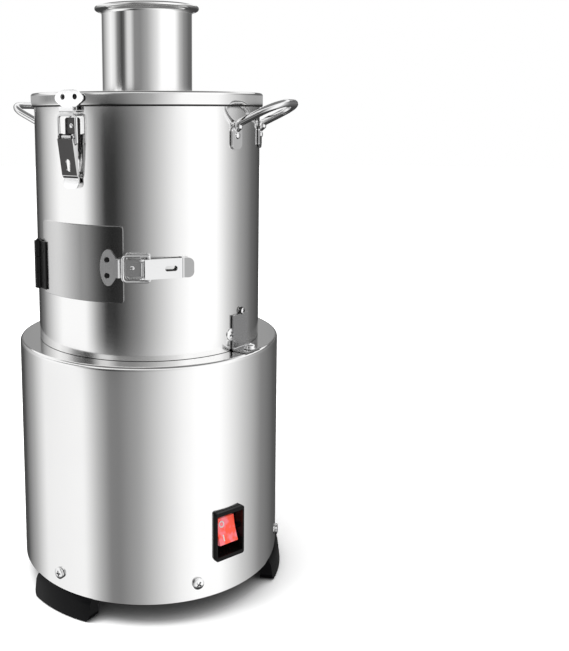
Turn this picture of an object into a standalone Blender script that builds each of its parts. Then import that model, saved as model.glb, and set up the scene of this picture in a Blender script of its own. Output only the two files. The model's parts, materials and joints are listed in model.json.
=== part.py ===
"""A garlic peeling machine, about 48 cm tall, modelled at its real size.

A drum-shaped base holds the motor and stands on three feet. A peeling barrel with a side door stands on
the base, and a lid with a feed tube closes the barrel. Three toggle latches hold the lid and the door. A
shaft runs up from the motor through both floors and turns a disc with silicone paddles at the height of
the door.

Lengths are in metres and angles in degrees. Z is up, the origin is on the floor under the middle of the
machine, and the door faces -Y. An azimuth is measured round the machine from -Y towards +X.
"""

import math

import bmesh
import bpy
from mathutils import Matrix, Vector

# Fits and facets
SEAT_GAP = 0.0003
PIN_GAP = 0.0002
RUNNING_GAP = 0.0005
OVERRUN = 0.004
WELD = 0.000001
SHARP_ANGLE = 35
LARGE_STEPS = 48
TUBE_STEPS = 36
MEDIUM_STEPS = 20
SMALL_STEPS = 12
TINY_STEPS = 8
ARC_STEPS = 2

# Base shell: a deep drawn drum, open below
BASE_RADIUS = 0.110
BASE_HEIGHT = 0.1875
BASE_WALL = 0.0012
BASE_EDGE = 0.0026
BASE_SHAFT_HOLE = 0.020

# Feet
FOOT_COUNT = 3
FOOT_AZIMUTH = -4.4
FOOT_HEIGHT = 0.0177
FOOT_WIDTH = 0.062
FOOT_DEPTH = 0.011
FOOT_RING = 0.030
FOOT_OVERHANG = 0.0008
FOOT_SHOULDER = 0.0028
FOOT_SHOULDER_DROP = 0.0035
FOOT_SPREAD = 0.0044
FOOT_EDGE = 0.0010
FOOT_CORNER = 0.0055

# Bottom plate: a shallow pan inside the shell
PLATE_WALL = 0.0015
PLATE_RIM = 0.020
PLATE_HOLE = 0.016
VENT_COUNT = 12
VENT_AZIMUTH = 5
VENT_INNER = 0.028
VENT_OUTER = 0.052
VENT_WIDTH = 0.005

# Screws round the foot of the shell
SCREW_COUNT = 6
SCREW_AZIMUTH = -4.3
SCREW_HEIGHT = 0.0132
SCREW_HEAD_RADIUS = 0.0045
SCREW_HEAD_HEIGHT = 0.0022
SCREW_HEAD_EDGE = 0.0011
SCREW_SHANK = 0.002
SCREW_LENGTH = 0.007

# Rocker switch
SWITCH_AZIMUTH = 70.1
SWITCH_HEIGHT = 0.0477
SWITCH_WIDTH = 0.0277
SWITCH_TALL = 0.0395
SWITCH_CORNER = 0.0025
SWITCH_PROUD = 0.003
SWITCH_SKIRT = 0.002
SWITCH_BODY_WIDTH = 0.0256
SWITCH_BODY_TALL = 0.0345
SWITCH_BODY_DEPTH = 0.024
SWITCH_WELL_WIDTH = 0.0222
SWITCH_WELL_TALL = 0.0325
SWITCH_WELL_DEPTH = 0.0145
ROCKER_WIDTH = 0.0175
ROCKER_TALL = 0.0200
ROCKER_RAISE = 0.0003
ROCKER_PIVOT_DEPTH = 0.0055
ROCKER_END_HEIGHT = 0.0040
ROCKER_MIDDLE_HEIGHT = 0.0032
ROCKER_SIDE = 0.0012
ROCKER_KEEL_WIDTH = 0.011
ROCKER_KEEL = 0.0045
ROCKER_TILT = 17
ROCKER_BOSS = 0.0022
ROCKER_PIN = 0.0010
ROCKER_PIN_REACH = 0.0012

# Cord gland in the back of the shell
GLAND_AZIMUTH = 180
GLAND_HEIGHT = 0.034
GLAND_FLANGE = 0.0095
GLAND_PROUD = 0.0045
GLAND_BODY = 0.0078
GLAND_BORE = 0.0036
GLAND_NUT = 0.011
GLAND_NUT_SET = 0.0023
GLAND_NUT_THICK = 0.005
GLAND_LENGTH = 0.013
GLAND_EDGE = 0.0012

# Motor
MOTOR_RADIUS_SHARE = 0.4727
MOTOR_WALL = 0.018
MOTOR_AIR_GAP = 0.0006
MOTOR_FLANGE_REACH = 0.016
MOTOR_FLANGE_THICK = 0.006
MOTOR_STAND = 0.058
MOTOR_HEAD = 0.017
MOTOR_CORE_DROP = 0.012
MOTOR_CORE_RISE = 0.017
END_BELL_THICK = 0.009
END_BELL_HUB = 0.022
END_BELL_HUB_DROP = 0.004
BEARING_RADIUS = 0.0135
BEARING_LENGTH = 0.009
BEARING_SHOULDER = 0.003
FAN_SET_IN = 0.008
FAN_HUB = 0.013
FAN_HEIGHT = 0.010
FAN_BLADES = 8
FAN_BLADE_THICK = 0.0016
FAN_PITCH = 35
FAN_DROP = 0.004
CAPACITOR_AZIMUTH = 215
CAPACITOR_SET_IN = 0.010
CAPACITOR_RADIUS = 0.017
CAPACITOR_HEIGHT = 0.062
CAPACITOR_EDGE = 0.002
CLIP_THICK = 0.0012
CLIP_HEIGHT = 0.014
CLIP_FOOT = 0.012

# Shaft and what it turns
SHAFT_RADIUS = 0.006
SHAFT_THREAD = 0.005
SHAFT_THREAD_LENGTH = 0.012
SHAFT_STUB = 0.004
DISC_CLEARANCE = 0.0033
DISC_THICK = 0.002
DISC_RIM = 0.0025
DISC_BELOW_SILL = 0.006
DISC_HUB = 0.013
DISC_HUB_LENGTH = 0.022
PADDLE_COUNT = 4
PADDLE_MARGIN = 0.0123
PADDLE_HEIGHT = 0.012
PADDLE_THICK = 0.006
PADDLE_TIP_THICK = 0.004
PADDLE_SWEEP = 38
PADDLE_HUB = 0.017
PADDLE_HUB_HEIGHT = 0.007
NUT_RADIUS = 0.0095
NUT_HEIGHT = 0.009
NUT_DOME = 0.004
NUT_SIDES = 6

# Barrel
BASE_LEDGE = 0.0164
BARREL_WALL = 0.0010
BARREL_HEIGHT = 0.1986
BARREL_FLOOR = 0.0015
BARREL_CORNER = 0.004
SEAL_RADIUS = 0.014
SEAL_FLANGE = 0.019
SEAL_FLANGE_THICK = 0.002
SEAL_LENGTH = 0.010

# Door
DOOR_ARC = 50.4
DOOR_SILL = 0.0446
DOOR_TALL = 0.0584
DOOR_WALL = 0.0010
DOOR_CORNER = 0.0025
DOOR_LAP = 0.006
DOOR_HOLE_CORNER = 0.006
HINGE_OVERHANG = 0.00662
HINGE_PIN_OUT = 0.0037
HINGE_TALL = 0.0383
HINGE_DROP = 0.0074
HINGE_LEAF = 0.0125
HINGE_WALL = 0.0012
HINGE_KNUCKLE = 0.003
HINGE_KNUCKLE_GAP = 0.0004
HINGE_KNUCKLES = 3
HINGE_NOTCH = 0.0036
HINGE_PIN = 0.0013
HINGE_PIN_HEAD = 0.0006
DOOR_STRIKE_INSET = 0.0116
DOOR_LATCH_DROP = 0.0021

# Lid
LID_OVERHANG = 0.0025
LID_WALL = 0.0012
LID_SKIRT = 0.0102
LID_EDGE = 0.002
GASKET_THICK = 0.002
GASKET_WIDTH = 0.0034
TUBE_RADIUS = 0.0373
TUBE_WALL = 0.0010
TUBE_HEIGHT = 0.0707
TUBE_DROP = 0.008
TUBE_COLLAR = 0.0025
TUBE_COLLAR_THICK = 0.0015
TUBE_WELD = 0.0012
RIM_BEAD = 0.0017
RIM_REACH = 0.0058
RIM_FLARE = 0.0052
RIM_SHARES = (0.75, 0.33, 0.17)

# Strike plates, all of one pattern
STRIKE_WIDTH = 0.0277
STRIKE_TALL = 0.0128
STRIKE_NECK = 0.014
STRIKE_EAR_ANGLES = (-25, 205)
STRIKE_EAR_STEPS = 12
STRIKE_THICK = 0.0010
STRIKE_HOLE = 0.0022
STRIKE_HOLE_OUT = 0.0060
STRIKE_HOLE_RAISE = 0.0008
HOOK_RADIUS = 0.0018
HOOK_DROP = 0.0086
HOOK_TURN_UP = 0.0022
HOOK_WIDTH = 0.0136
LID_STRIKE_DROPS = {"front": 0.0048, "rear": 0.0076}

# Toggle latches, all of one pattern
LATCH_PIN_OUT = 0.0065
LATCH_PIN = 0.0012
LATCH_PIN_LENGTH = 0.0148
LATCH_BASE_WIDTH = 0.0124
LATCH_BASE_FRONT = 0.0142
LATCH_BASE_BACK = 0.010
LATCH_BASE_THICK = 0.0012
LATCH_BASE_CORNER = 0.002
LATCH_EAR_THICK = 0.0008
LATCH_EAR_OUT = 0.0059
LATCH_EAR_RADIUS = 0.0018
LATCH_RIVET = 0.0016
BAIL_WIRE = 0.0011
LID_BAIL_LENGTH = 0.0212
DOOR_BAIL_LENGTH = 0.0198
BAIL_HALF_WIDTH = 0.0097
BAIL_END = 0.0062
BAIL_CORNER = 0.003
BAIL_END_CORNER = 0.0016
BAIL_HOOK_GAP = 0.0004
BAIL_PIVOT_BACK = 0.005
BAIL_PIVOT_IN = 0.001
LEVER_WIDTH = 0.0150
LEVER_WALL = 0.0010
LEVER_NOSE = 0.0023
LEVER_WEB_START = 0.0014
LEVER_WEB_OUT = 0.0026
LEVER_CHANNEL = 0.0289
LEVER_CHANNEL_END_OUT = -0.0020
LEVER_FLANGE_NOSE = 0.0026
LEVER_FLANGE_DEEP = 0.0034
LEVER_FLANGE_END = 0.0014
LEVER_FLANGE_BELLY = 0.0075
LEVER_STEP = 0.0022
LEVER_STEP_IN = 0.0018
LEVER_LENGTH = 0.0390
LEVER_TIP_LIFT = 0.0008
LEVER_TIP_WIDTH = 0.0150
LEVER_TIP_CORNER = 0.0045
LEVER_SLOT_WIDTH = 0.0042
LEVER_SLOT_LENGTH = 0.0095
LEVER_SLOT_PLACE = 0.0215
LEVER_CORNER = 0.0012
DOOR_LEVER_LEAN = 8

# Bail handles on the barrel
HANDLE_AZIMUTH = 97.6
HANDLE_HALF_ARC = 14.6
HANDLE_BELOW_TOP = 0.0313
HANDLE_WIRE = 0.003
HANDLE_STAND_OFF = 0.0326
HANDLE_TILT = 20.4
HANDLE_CORNER = 0.0175
HANDLE_NECK = 0.0143
HANDLE_NECK_CORNER = 0.006
HANDLE_PAD_WIDTH = 0.0126
HANDLE_PAD_TALL = 0.0185
HANDLE_PAD_THICK = 0.0016
HANDLE_PAD_CORNER = 0.005
HANDLE_FLAT_END = 0.0036
HANDLE_FLAT_START = 0.0078
HANDLE_RIVET = 0.0028
HANDLE_RIVET_PROUD = 0.0016
HANDLE_RIVET_RAISE = 0.0018
HANDLE_FLAT_SHARES = (0.32, 0.78)

# Brackets that hold the barrel to the base
BRACKET_COUNT = 2
BRACKET_AZIMUTH = 86.1
BRACKET_WIDTH = 0.0195
BRACKET_TALL = 0.0287
BRACKET_FOOT = 0.0150
BRACKET_THICK = 0.0015
BRACKET_BEND = 0.0012
BOLT_PLACE = 0.0108
BOLT_HEAD_RADIUS = 0.0046
BOLT_HEAD_HEIGHT = 0.0035
BOLT_WASHER = 0.0052
BOLT_WASHER_THICK = 0.0010
BOLT_SHANK = 0.0025
BOLT_LENGTH = 0.009

# Radii and places that follow from the sizes above
BARREL_RADIUS = BASE_RADIUS - BASE_LEDGE
LID_RADIUS = BARREL_RADIUS + LID_OVERHANG
HANDLE_REACH = BARREL_RADIUS + HANDLE_STAND_OFF
DISC_RADIUS = BARREL_RADIUS - BARREL_WALL - DISC_CLEARANCE
PADDLE_REACH = DISC_RADIUS - PADDLE_MARGIN
MOTOR_RADIUS = BASE_RADIUS * MOTOR_RADIUS_SHARE
MOTOR_BORE = MOTOR_RADIUS - MOTOR_WALL
MOTOR_FLANGE = MOTOR_RADIUS + MOTOR_FLANGE_REACH
MOTOR_CORE_RADIUS = MOTOR_BORE - MOTOR_AIR_GAP
MOTOR_LENGTH = BASE_HEIGHT - BASE_WALL - SEAT_GAP - MOTOR_STAND
MOTOR_CORE_LENGTH = MOTOR_LENGTH - MOTOR_HEAD - MOTOR_CORE_DROP - MOTOR_CORE_RISE
FAN_RADIUS = MOTOR_RADIUS - FAN_SET_IN
PLATE_INSIDE = BASE_RADIUS - BASE_WALL - SEAT_GAP - PLATE_WALL
CAPACITOR_PLACE = PLATE_INSIDE - CAPACITOR_SET_IN - CAPACITOR_RADIUS

# Heights that follow from the sizes above
SHELL_BOTTOM = FOOT_HEIGHT + SEAT_GAP
SHELL_TOP = SHELL_BOTTOM + BASE_HEIGHT
SHELL_UNDER_TOP = SHELL_TOP - BASE_WALL
BARREL_BOTTOM = SHELL_TOP + SEAT_GAP
BARREL_TOP = BARREL_BOTTOM + BARREL_HEIGHT
BARREL_INSIDE = BARREL_RADIUS - BARREL_WALL
FLOOR_TOP = BARREL_BOTTOM + BARREL_FLOOR
DOOR_BOTTOM = BARREL_BOTTOM + DOOR_SILL
DOOR_TOP = DOOR_BOTTOM + DOOR_TALL
DOOR_MIDDLE = (DOOR_BOTTOM + DOOR_TOP) / 2
DOOR_INSIDE = BARREL_RADIUS + SEAT_GAP
DOOR_OUTSIDE = DOOR_INSIDE + DOOR_WALL
SILL = DOOR_BOTTOM + DOOR_LAP
DISC_TOP = SILL - DISC_BELOW_SILL
PADDLE_BOTTOM = DISC_TOP + SEAT_GAP
NUT_BOTTOM = PADDLE_BOTTOM + PADDLE_HUB_HEIGHT + SEAT_GAP
LID_UNDER = BARREL_TOP + SEAT_GAP + GASKET_THICK + SEAT_GAP
LID_TOP = LID_UNDER + LID_WALL
TUBE_TOP = LID_TOP + TUBE_HEIGHT
MOTOR_TOP = SHELL_UNDER_TOP - SEAT_GAP
MOTOR_BOTTOM = MOTOR_TOP - MOTOR_LENGTH
END_BELL_BOTTOM = MOTOR_BOTTOM - SEAT_GAP - END_BELL_THICK
FAN_TOP = END_BELL_BOTTOM - END_BELL_HUB_DROP - FAN_DROP
SHAFT_BOTTOM = FAN_TOP - FAN_HEIGHT - SHAFT_STUB
SHAFT_TOP = NUT_BOTTOM + SHAFT_THREAD_LENGTH - SHAFT_STUB
SHAFT_BORE = SHAFT_RADIUS + PIN_GAP
HINGE_PIN_RADIUS = BARREL_RADIUS + HINGE_PIN_OUT
HINGE_AZIMUTH = -DOOR_ARC / 2 - math.degrees(HINGE_OVERHANG / HINGE_PIN_RADIUS)
DOOR_STRIKE_AZIMUTH = DOOR_ARC / 2 - math.degrees(DOOR_STRIKE_INSET / DOOR_OUTSIDE)
HINGE_MIDDLE = DOOR_MIDDLE - HINGE_DROP
DOOR_LATCH_HEIGHT = DOOR_MIDDLE - DOOR_LATCH_DROP
HANDLE_HEIGHT = BARREL_TOP - HANDLE_BELOW_TOP
STRIKE_TO_BAR = HOOK_DROP + HOOK_RADIUS + STRIKE_THICK / 2 + BAIL_HOOK_GAP + BAIL_WIRE
HOOK_OUT = SEAT_GAP + STRIKE_THICK / 2 + HOOK_RADIUS
LID_LATCH_AZIMUTHS = {"front": 0, "rear": 180}


def clear_scene():
    for old in list(bpy.data.objects):
        bpy.data.objects.remove(old, do_unlink=True)


def new_collection(name):
    collection = bpy.data.collections.new(name)
    bpy.context.scene.collection.children.link(collection)
    return collection


clear_scene()
PARTS = new_collection("garlic_peeling_machine")
CUTTERS = new_collection("cutters")


# Materials


def metal(name, colour, roughness):
    return material(name, colour, roughness, 1)


def plastic(name, colour, roughness):
    return material(name, colour, roughness, 0)


def material(name, colour, roughness, metallic):
    made = bpy.data.materials.new(name)
    made.use_nodes = True
    shader = made.node_tree.nodes["Principled BSDF"]
    shader.inputs["Base Color"].default_value = (*colour, 1)
    shader.inputs["Roughness"].default_value = roughness
    shader.inputs["Metallic"].default_value = metallic
    return made


DRUM_STEEL = metal("drum_steel", (0.72, 0.72, 0.73), 0.24)
DOOR_STEEL = metal("door_steel", (0.50, 0.50, 0.51), 0.32)
BRIGHT_STEEL = metal("bright_steel", (0.82, 0.82, 0.83), 0.12)
PLATE_STEEL = metal("plate_steel", (0.60, 0.60, 0.61), 0.35)
MOTOR_IRON = metal("motor_iron", (0.24, 0.25, 0.27), 0.55)
BEARING_STEEL = metal("bearing_steel", (0.55, 0.55, 0.56), 0.25)
FOOT_PLASTIC = plastic("foot_plastic", (0.012, 0.012, 0.013), 0.18)
SWITCH_PLASTIC = plastic("switch_plastic", (0.015, 0.015, 0.016), 0.35)
ROCKER_RED = plastic("rocker_red", (0.85, 0.06, 0.04), 0.25)
HINGE_BLACK = plastic("hinge_black", (0.02, 0.02, 0.022), 0.4)
GLAND_PLASTIC = plastic("gland_plastic", (0.02, 0.02, 0.022), 0.45)
FAN_PLASTIC = plastic("fan_plastic", (0.05, 0.05, 0.055), 0.5)
CAPACITOR_SHELL = plastic("capacitor_shell", (0.78, 0.79, 0.80), 0.4)
SILICONE = plastic("silicone", (0.75, 0.74, 0.70), 0.6)


# Shapes: each function returns a mesh in its own frame


def arc(centre, radius, start, end, steps=ARC_STEPS):
    """Points of an arc, from the angle start to the angle end."""
    points = []
    for step in range(steps + 1):
        angle = math.radians(start + (end - start) * step / steps)
        points.append((centre[0] + radius * math.cos(angle), centre[1] + radius * math.sin(angle)))
    return points


def rounded(points, radii, closed=True, steps=ARC_STEPS):
    """The path with each corner replaced by an arc. Its radii are one for each corner, or one for all."""
    corners = [Vector((*point, 0)[:3]) for point in points]
    if not isinstance(radii, (list, tuple)):
        radii = [radii] * len(corners)
    path = []
    for index, corner in enumerate(corners):
        at_end = index in (0, len(corners) - 1)
        if radii[index] <= 0 or (at_end and not closed):
            path.append(corner)
            continue
        before = corners[index - 1] - corner
        after = corners[(index + 1) % len(corners)] - corner
        half = before.angle(after) / 2
        longest = min(before.length, after.length) / 2
        reach = min(radii[index] / math.tan(half), longest)
        before.normalize()
        after.normalize()
        centre = corner + (before + after).normalized() * reach / math.cos(half)
        first = corner + before * reach - centre
        last = corner + after * reach - centre
        turn = first.angle(last)
        for step in range(steps + 1):
            there = turn * step / steps
            between = first * math.sin(turn - there) + last * math.sin(there)
            path.append(centre + between / math.sin(turn))
    return [tuple(point) for point in path]


def flat(points):
    return [(point[0], point[1]) for point in points]


def rectangle(width, height, corner=0, steps=ARC_STEPS):
    """An outline about the origin."""
    x = width / 2
    y = height / 2
    outline = [(-x, -y), (x, -y), (x, y), (-x, y)]
    return flat(rounded(outline, corner, steps=steps)) if corner else outline


def circle(radius, centre=(0, 0), steps=SMALL_STEPS):
    return arc(centre, radius, 0, 360 - 360 / steps, steps - 1)


def ribbon(path, thickness):
    """The outline of a bent strip that has this path along its middle."""
    left = []
    right = []
    for index, (x, y) in enumerate(path):
        before = path[max(index - 1, 0)]
        after = path[min(index + 1, len(path) - 1)]
        along = Vector((after[0] - before[0], after[1] - before[1])).normalized() * thickness / 2
        left.append((x - along.y, y + along.x))
        right.append((x + along.y, y - along.x))
    return left + right[::-1]


def welded(holder, steps_apart=WELD):
    """The evaluated shape of a curve or a profile as one closed mesh; its holder is removed."""
    bpy.context.view_layer.update()
    graph = bpy.context.evaluated_depsgraph_get()
    mesh = bpy.data.meshes.new_from_object(holder.evaluated_get(graph))
    shape = bmesh.new()
    shape.from_mesh(mesh)
    bmesh.ops.remove_doubles(shape, verts=shape.verts, dist=steps_apart)
    bmesh.ops.recalc_face_normals(shape, faces=shape.faces)
    shape.to_mesh(mesh)
    shape.free()
    bpy.data.objects.remove(holder)
    mesh.shade_smooth()
    mesh.set_sharp_from_angle(angle=math.radians(SHARP_ANGLE))
    return mesh


def holder_of(data):
    holder = bpy.data.objects.new("holder", data)
    CUTTERS.objects.link(holder)
    return holder


def turned(profile, steps):
    """A profile of (radius, height) points, spun round Z. It runs out over the top, down and back under."""
    mesh = bpy.data.meshes.new("profile")
    ends = range(len(profile))
    on_axis = profile[0][0] == 0 and profile[-1][0] == 0
    edges = [(index, index + 1) for index in ends[:-1]]
    if not on_axis:
        edges.append((ends[-1], 0))
    mesh.from_pydata([(radius, 0, height) for radius, height in profile], edges, [])
    holder = holder_of(mesh)
    screw = holder.modifiers.new("Spin", "SCREW")
    screw.steps = steps
    screw.render_steps = steps
    screw.use_merge_vertices = True
    screw.merge_threshold = WELD
    return welded(holder)


def rod(radius, low, high, steps=SMALL_STEPS):
    return turned([(0, high), (radius, high), (radius, low), (0, low)], steps)


def tube(inner, outer, low, high, steps):
    return turned([(inner, high), (outer, high), (outer, low), (inner, low)], steps)


def sheet(loops, low, high):
    """Flat outlines filled and given a thickness, from low to high along Z."""
    curve = bpy.data.curves.new("outline", "CURVE")
    curve.dimensions = "2D"
    curve.fill_mode = "BOTH"
    curve.extrude = (high - low) / 2
    for loop in loops:
        spline = curve.splines.new("POLY")
        spline.points.add(len(loop) - 1)
        spline.use_cyclic_u = True
        for point, (x, y) in zip(spline.points, loop):
            point.co = (x, y, 0, 1)
    mesh = welded(holder_of(curve))
    mesh.transform(Matrix.Translation((0, 0, (low + high) / 2)))
    return mesh


def side_sheet(loops, width):
    """Outlines drawn in a piece's side view, as (Y, Z), and given a width along X about the middle."""
    mesh = sheet(loops, -width / 2, width / 2)
    mesh.transform(Matrix(((0, 0, 1, 0), (1, 0, 0, 0), (0, 1, 0, 0), (0, 0, 0, 1))))
    return mesh


def wire(path, radius, resolution, shares=None):
    """A round wire along a path, with closed ends. The shares thin it at its points."""
    curve = bpy.data.curves.new("wire", "CURVE")
    curve.dimensions = "3D"
    curve.bevel_depth = radius
    curve.bevel_resolution = resolution
    curve.use_fill_caps = True
    spline = curve.splines.new("POLY")
    spline.points.add(len(path) - 1)
    for index, place in enumerate(path):
        spline.points[index].co = (*place, 1)
        spline.points[index].radius = shares[index] if shares else 1
    return welded(holder_of(curve))


def block(size, centre=(0, 0, 0)):
    shape = bmesh.new()
    bmesh.ops.create_cube(shape, size=1)
    bmesh.ops.scale(shape, vec=size, verts=shape.verts)
    bmesh.ops.translate(shape, vec=centre, verts=shape.verts)
    mesh = bpy.data.meshes.new("block")
    shape.to_mesh(mesh)
    shape.free()
    return mesh


# Placing pieces


def wall_frame(azimuth, height, radius, turn=0):
    """A place on a round wall: X runs right along it, Y up it and Z straight out, then all turn about Z."""
    angle = math.radians(azimuth)
    right = Vector((math.cos(angle), math.sin(angle), 0))
    up = Vector((0, 0, 1))
    out = right.cross(up)
    frame = Matrix((right, up, out)).transposed().to_4x4()
    frame.translation = out * radius + up * height
    return frame @ Matrix.Rotation(math.radians(turn), 4, "Z")


def axis_empty(name, frame):
    """An empty on a joint's axis, which carries everything that moves on that joint."""
    empty = bpy.data.objects.new(name, None)
    empty.empty_display_size = BEARING_RADIUS
    empty.matrix_world = frame
    PARTS.objects.link(empty)
    bpy.context.view_layer.update()
    return empty


def piece(name, mesh, finish, frame=Matrix(), carrier=None):
    mesh.name = name
    mesh.materials.clear()
    mesh.materials.append(finish)
    made = bpy.data.objects.new(name, mesh)
    PARTS.objects.link(made)
    if carrier:
        made.parent = carrier
        made.matrix_parent_inverse = carrier.matrix_world.inverted()
    made.matrix_world = frame
    return made


def cutter(name, mesh, frame=Matrix()):
    mesh.name = name
    made = bpy.data.objects.new(name, mesh)
    made.matrix_world = frame
    made.hide_render = True
    made.display_type = "WIRE"
    CUTTERS.objects.link(made)
    return made


def combine(target, operation, tools):
    for tool in tools:
        change = target.modifiers.new(tool.name, "BOOLEAN")
        change.operation = operation
        change.solver = "EXACT"
        change.object = tool


def cut(target, *tools):
    combine(target, "DIFFERENCE", tools)


def join(target, *tools):
    combine(target, "UNION", tools)


def keep_within(target, *tools):
    combine(target, "INTERSECT", tools)


# The base


def screw_frames():
    height = SHELL_BOTTOM + SCREW_HEIGHT
    turns = [SCREW_AZIMUTH + 360 * index / SCREW_COUNT for index in range(SCREW_COUNT)]
    return [wall_frame(turn, height, BASE_RADIUS) for turn in turns]


def bracket_azimuths():
    return [BRACKET_AZIMUTH + 360 * index / BRACKET_COUNT for index in range(BRACKET_COUNT)]


def bracket_frame(azimuth):
    """At the barrel's wall where it meets the top of the base."""
    return wall_frame(azimuth, SHELL_TOP, BARREL_RADIUS)


def bolt_frame(azimuth):
    """Upright, on the top of the base under the bolt's head."""
    return Matrix.Rotation(math.radians(azimuth), 4, "Z") @ Matrix.Translation(
        (0, -BARREL_RADIUS - BOLT_PLACE, SHELL_TOP)
    )


def switch_frame():
    return wall_frame(SWITCH_AZIMUTH, SHELL_BOTTOM + SWITCH_HEIGHT, BASE_RADIUS)


def gland_frame():
    return wall_frame(GLAND_AZIMUTH, SHELL_BOTTOM + GLAND_HEIGHT, BASE_RADIUS)


def screw_hole_cutters():
    """One rod through the shell and the plate's rim for each screw."""
    cutters = []
    for index, frame in enumerate(screw_frames()):
        mesh = rod(SCREW_SHANK + SEAT_GAP, -SCREW_LENGTH - OVERRUN, OVERRUN, TINY_STEPS)
        cutters.append(cutter(f"screw_hole_{index + 1}", mesh, frame))
    return cutters


def make_base_shell(screw_holes):
    inside = BASE_RADIUS - BASE_WALL
    profile = [(BASE_SHAFT_HOLE, SHELL_TOP)]
    profile += arc((BASE_RADIUS - BASE_EDGE, SHELL_TOP - BASE_EDGE), BASE_EDGE, 90, 0)
    profile += [(BASE_RADIUS, SHELL_BOTTOM), (inside, SHELL_BOTTOM)]
    profile += arc((BASE_RADIUS - BASE_EDGE, SHELL_TOP - BASE_EDGE), BASE_EDGE - BASE_WALL, 0, 90)
    profile += [(BASE_SHAFT_HOLE, SHELL_UNDER_TOP)]
    shell = piece("base_shell", turned(profile, LARGE_STEPS), DRUM_STEEL)
    opening = rectangle(SWITCH_BODY_WIDTH + 2 * SEAT_GAP, SWITCH_BODY_TALL + 2 * SEAT_GAP)
    cut(shell, cutter("switch_opening", sheet([opening], -SWITCH_BODY_DEPTH, OVERRUN), switch_frame()))
    hole = rod(GLAND_BODY + SEAT_GAP, -GLAND_LENGTH, OVERRUN)
    cut(shell, cutter("gland_hole", hole, gland_frame()))
    cut(shell, *screw_holes)
    for index, azimuth in enumerate(bracket_azimuths()):
        hole = rod(BOLT_SHANK + SEAT_GAP, -OVERRUN, OVERRUN, TINY_STEPS)
        cut(shell, cutter(f"bolt_hole_{index + 1}", hole, bolt_frame(azimuth)))


def make_bottom_plate(screw_holes):
    outside = BASE_RADIUS - BASE_WALL - SEAT_GAP
    inside = PLATE_INSIDE
    floor = SHELL_BOTTOM + PLATE_WALL
    rim = SHELL_BOTTOM + PLATE_RIM
    profile = [(outside, rim), (outside, SHELL_BOTTOM), (PLATE_HOLE, SHELL_BOTTOM)]
    profile += [(PLATE_HOLE, floor), (inside, floor), (inside, rim)]
    plate = piece("bottom_plate", turned(profile, LARGE_STEPS), PLATE_STEEL)
    length = VENT_OUTER - VENT_INNER
    middle = (VENT_OUTER + VENT_INNER) / 2
    for index in range(VENT_COUNT):
        slot = sheet([rectangle(VENT_WIDTH, length, VENT_WIDTH / 2)], -OVERRUN, OVERRUN)
        spoke = Matrix.Rotation(math.radians(VENT_AZIMUTH) + math.tau * index / VENT_COUNT, 4, "Z")
        frame = spoke @ Matrix.Translation((0, -middle, SHELL_BOTTOM))
        cut(plate, cutter(f"vent_{index + 1}", slot, frame))
    cut(plate, *screw_holes)


def make_feet():
    """Arc blocks that spread a little past the shell. Their ends point at the machine's axis."""
    inner = BASE_RADIUS - FOOT_RING
    spread = BASE_RADIUS + FOOT_SPREAD
    profile = [(inner, FOOT_HEIGHT), (BASE_RADIUS + FOOT_OVERHANG, FOOT_HEIGHT)]
    profile += [(BASE_RADIUS + FOOT_SHOULDER, FOOT_HEIGHT - FOOT_SHOULDER_DROP)]
    profile += [(spread, FOOT_EDGE), (spread - FOOT_EDGE, 0), (inner, 0)]
    x = FOOT_WIDTH / 2
    outline = [(-x, 0), (x, 0), (x, FOOT_HEIGHT + OVERRUN), (-x, FOOT_HEIGHT + OVERRUN)]
    shape = flat(rounded(outline, [FOOT_CORNER, FOOT_CORNER, 0, 0]))
    spoke = spread + OVERRUN
    fan_out = spoke * x / BASE_RADIUS
    sector = [(0, 0), (-fan_out, -spoke), (fan_out, -spoke)]
    for index in range(FOOT_COUNT):
        azimuth = FOOT_AZIMUTH + 360 * index / FOOT_COUNT
        foot = piece(f"foot_{index + 1}", turned(profile, LARGE_STEPS), FOOT_PLASTIC)
        limit = sheet([shape], -FOOT_DEPTH, FOOT_DEPTH)
        keep_within(foot, cutter(f"foot_outline_{index + 1}", limit, wall_frame(azimuth, 0, BASE_RADIUS)))
        wedge = sheet([sector], -OVERRUN, FOOT_HEIGHT + OVERRUN)
        turn = Matrix.Rotation(math.radians(azimuth), 4, "Z")
        keep_within(foot, cutter(f"foot_ends_{index + 1}", wedge, turn))


def make_base_screws():
    inner_edge = SCREW_HEAD_RADIUS - SCREW_HEAD_EDGE
    top = SEAT_GAP + SCREW_HEAD_HEIGHT
    for index, frame in enumerate(screw_frames()):
        profile = [(0, top), (inner_edge, top), (SCREW_HEAD_RADIUS, top - SCREW_HEAD_EDGE)]
        profile += [(SCREW_HEAD_RADIUS, SEAT_GAP), (SCREW_SHANK, SEAT_GAP)]
        profile += [(SCREW_SHANK, -SCREW_LENGTH), (0, -SCREW_LENGTH)]
        piece(f"base_screw_{index + 1}", turned(profile, TINY_STEPS), BRIGHT_STEEL, frame)


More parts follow.
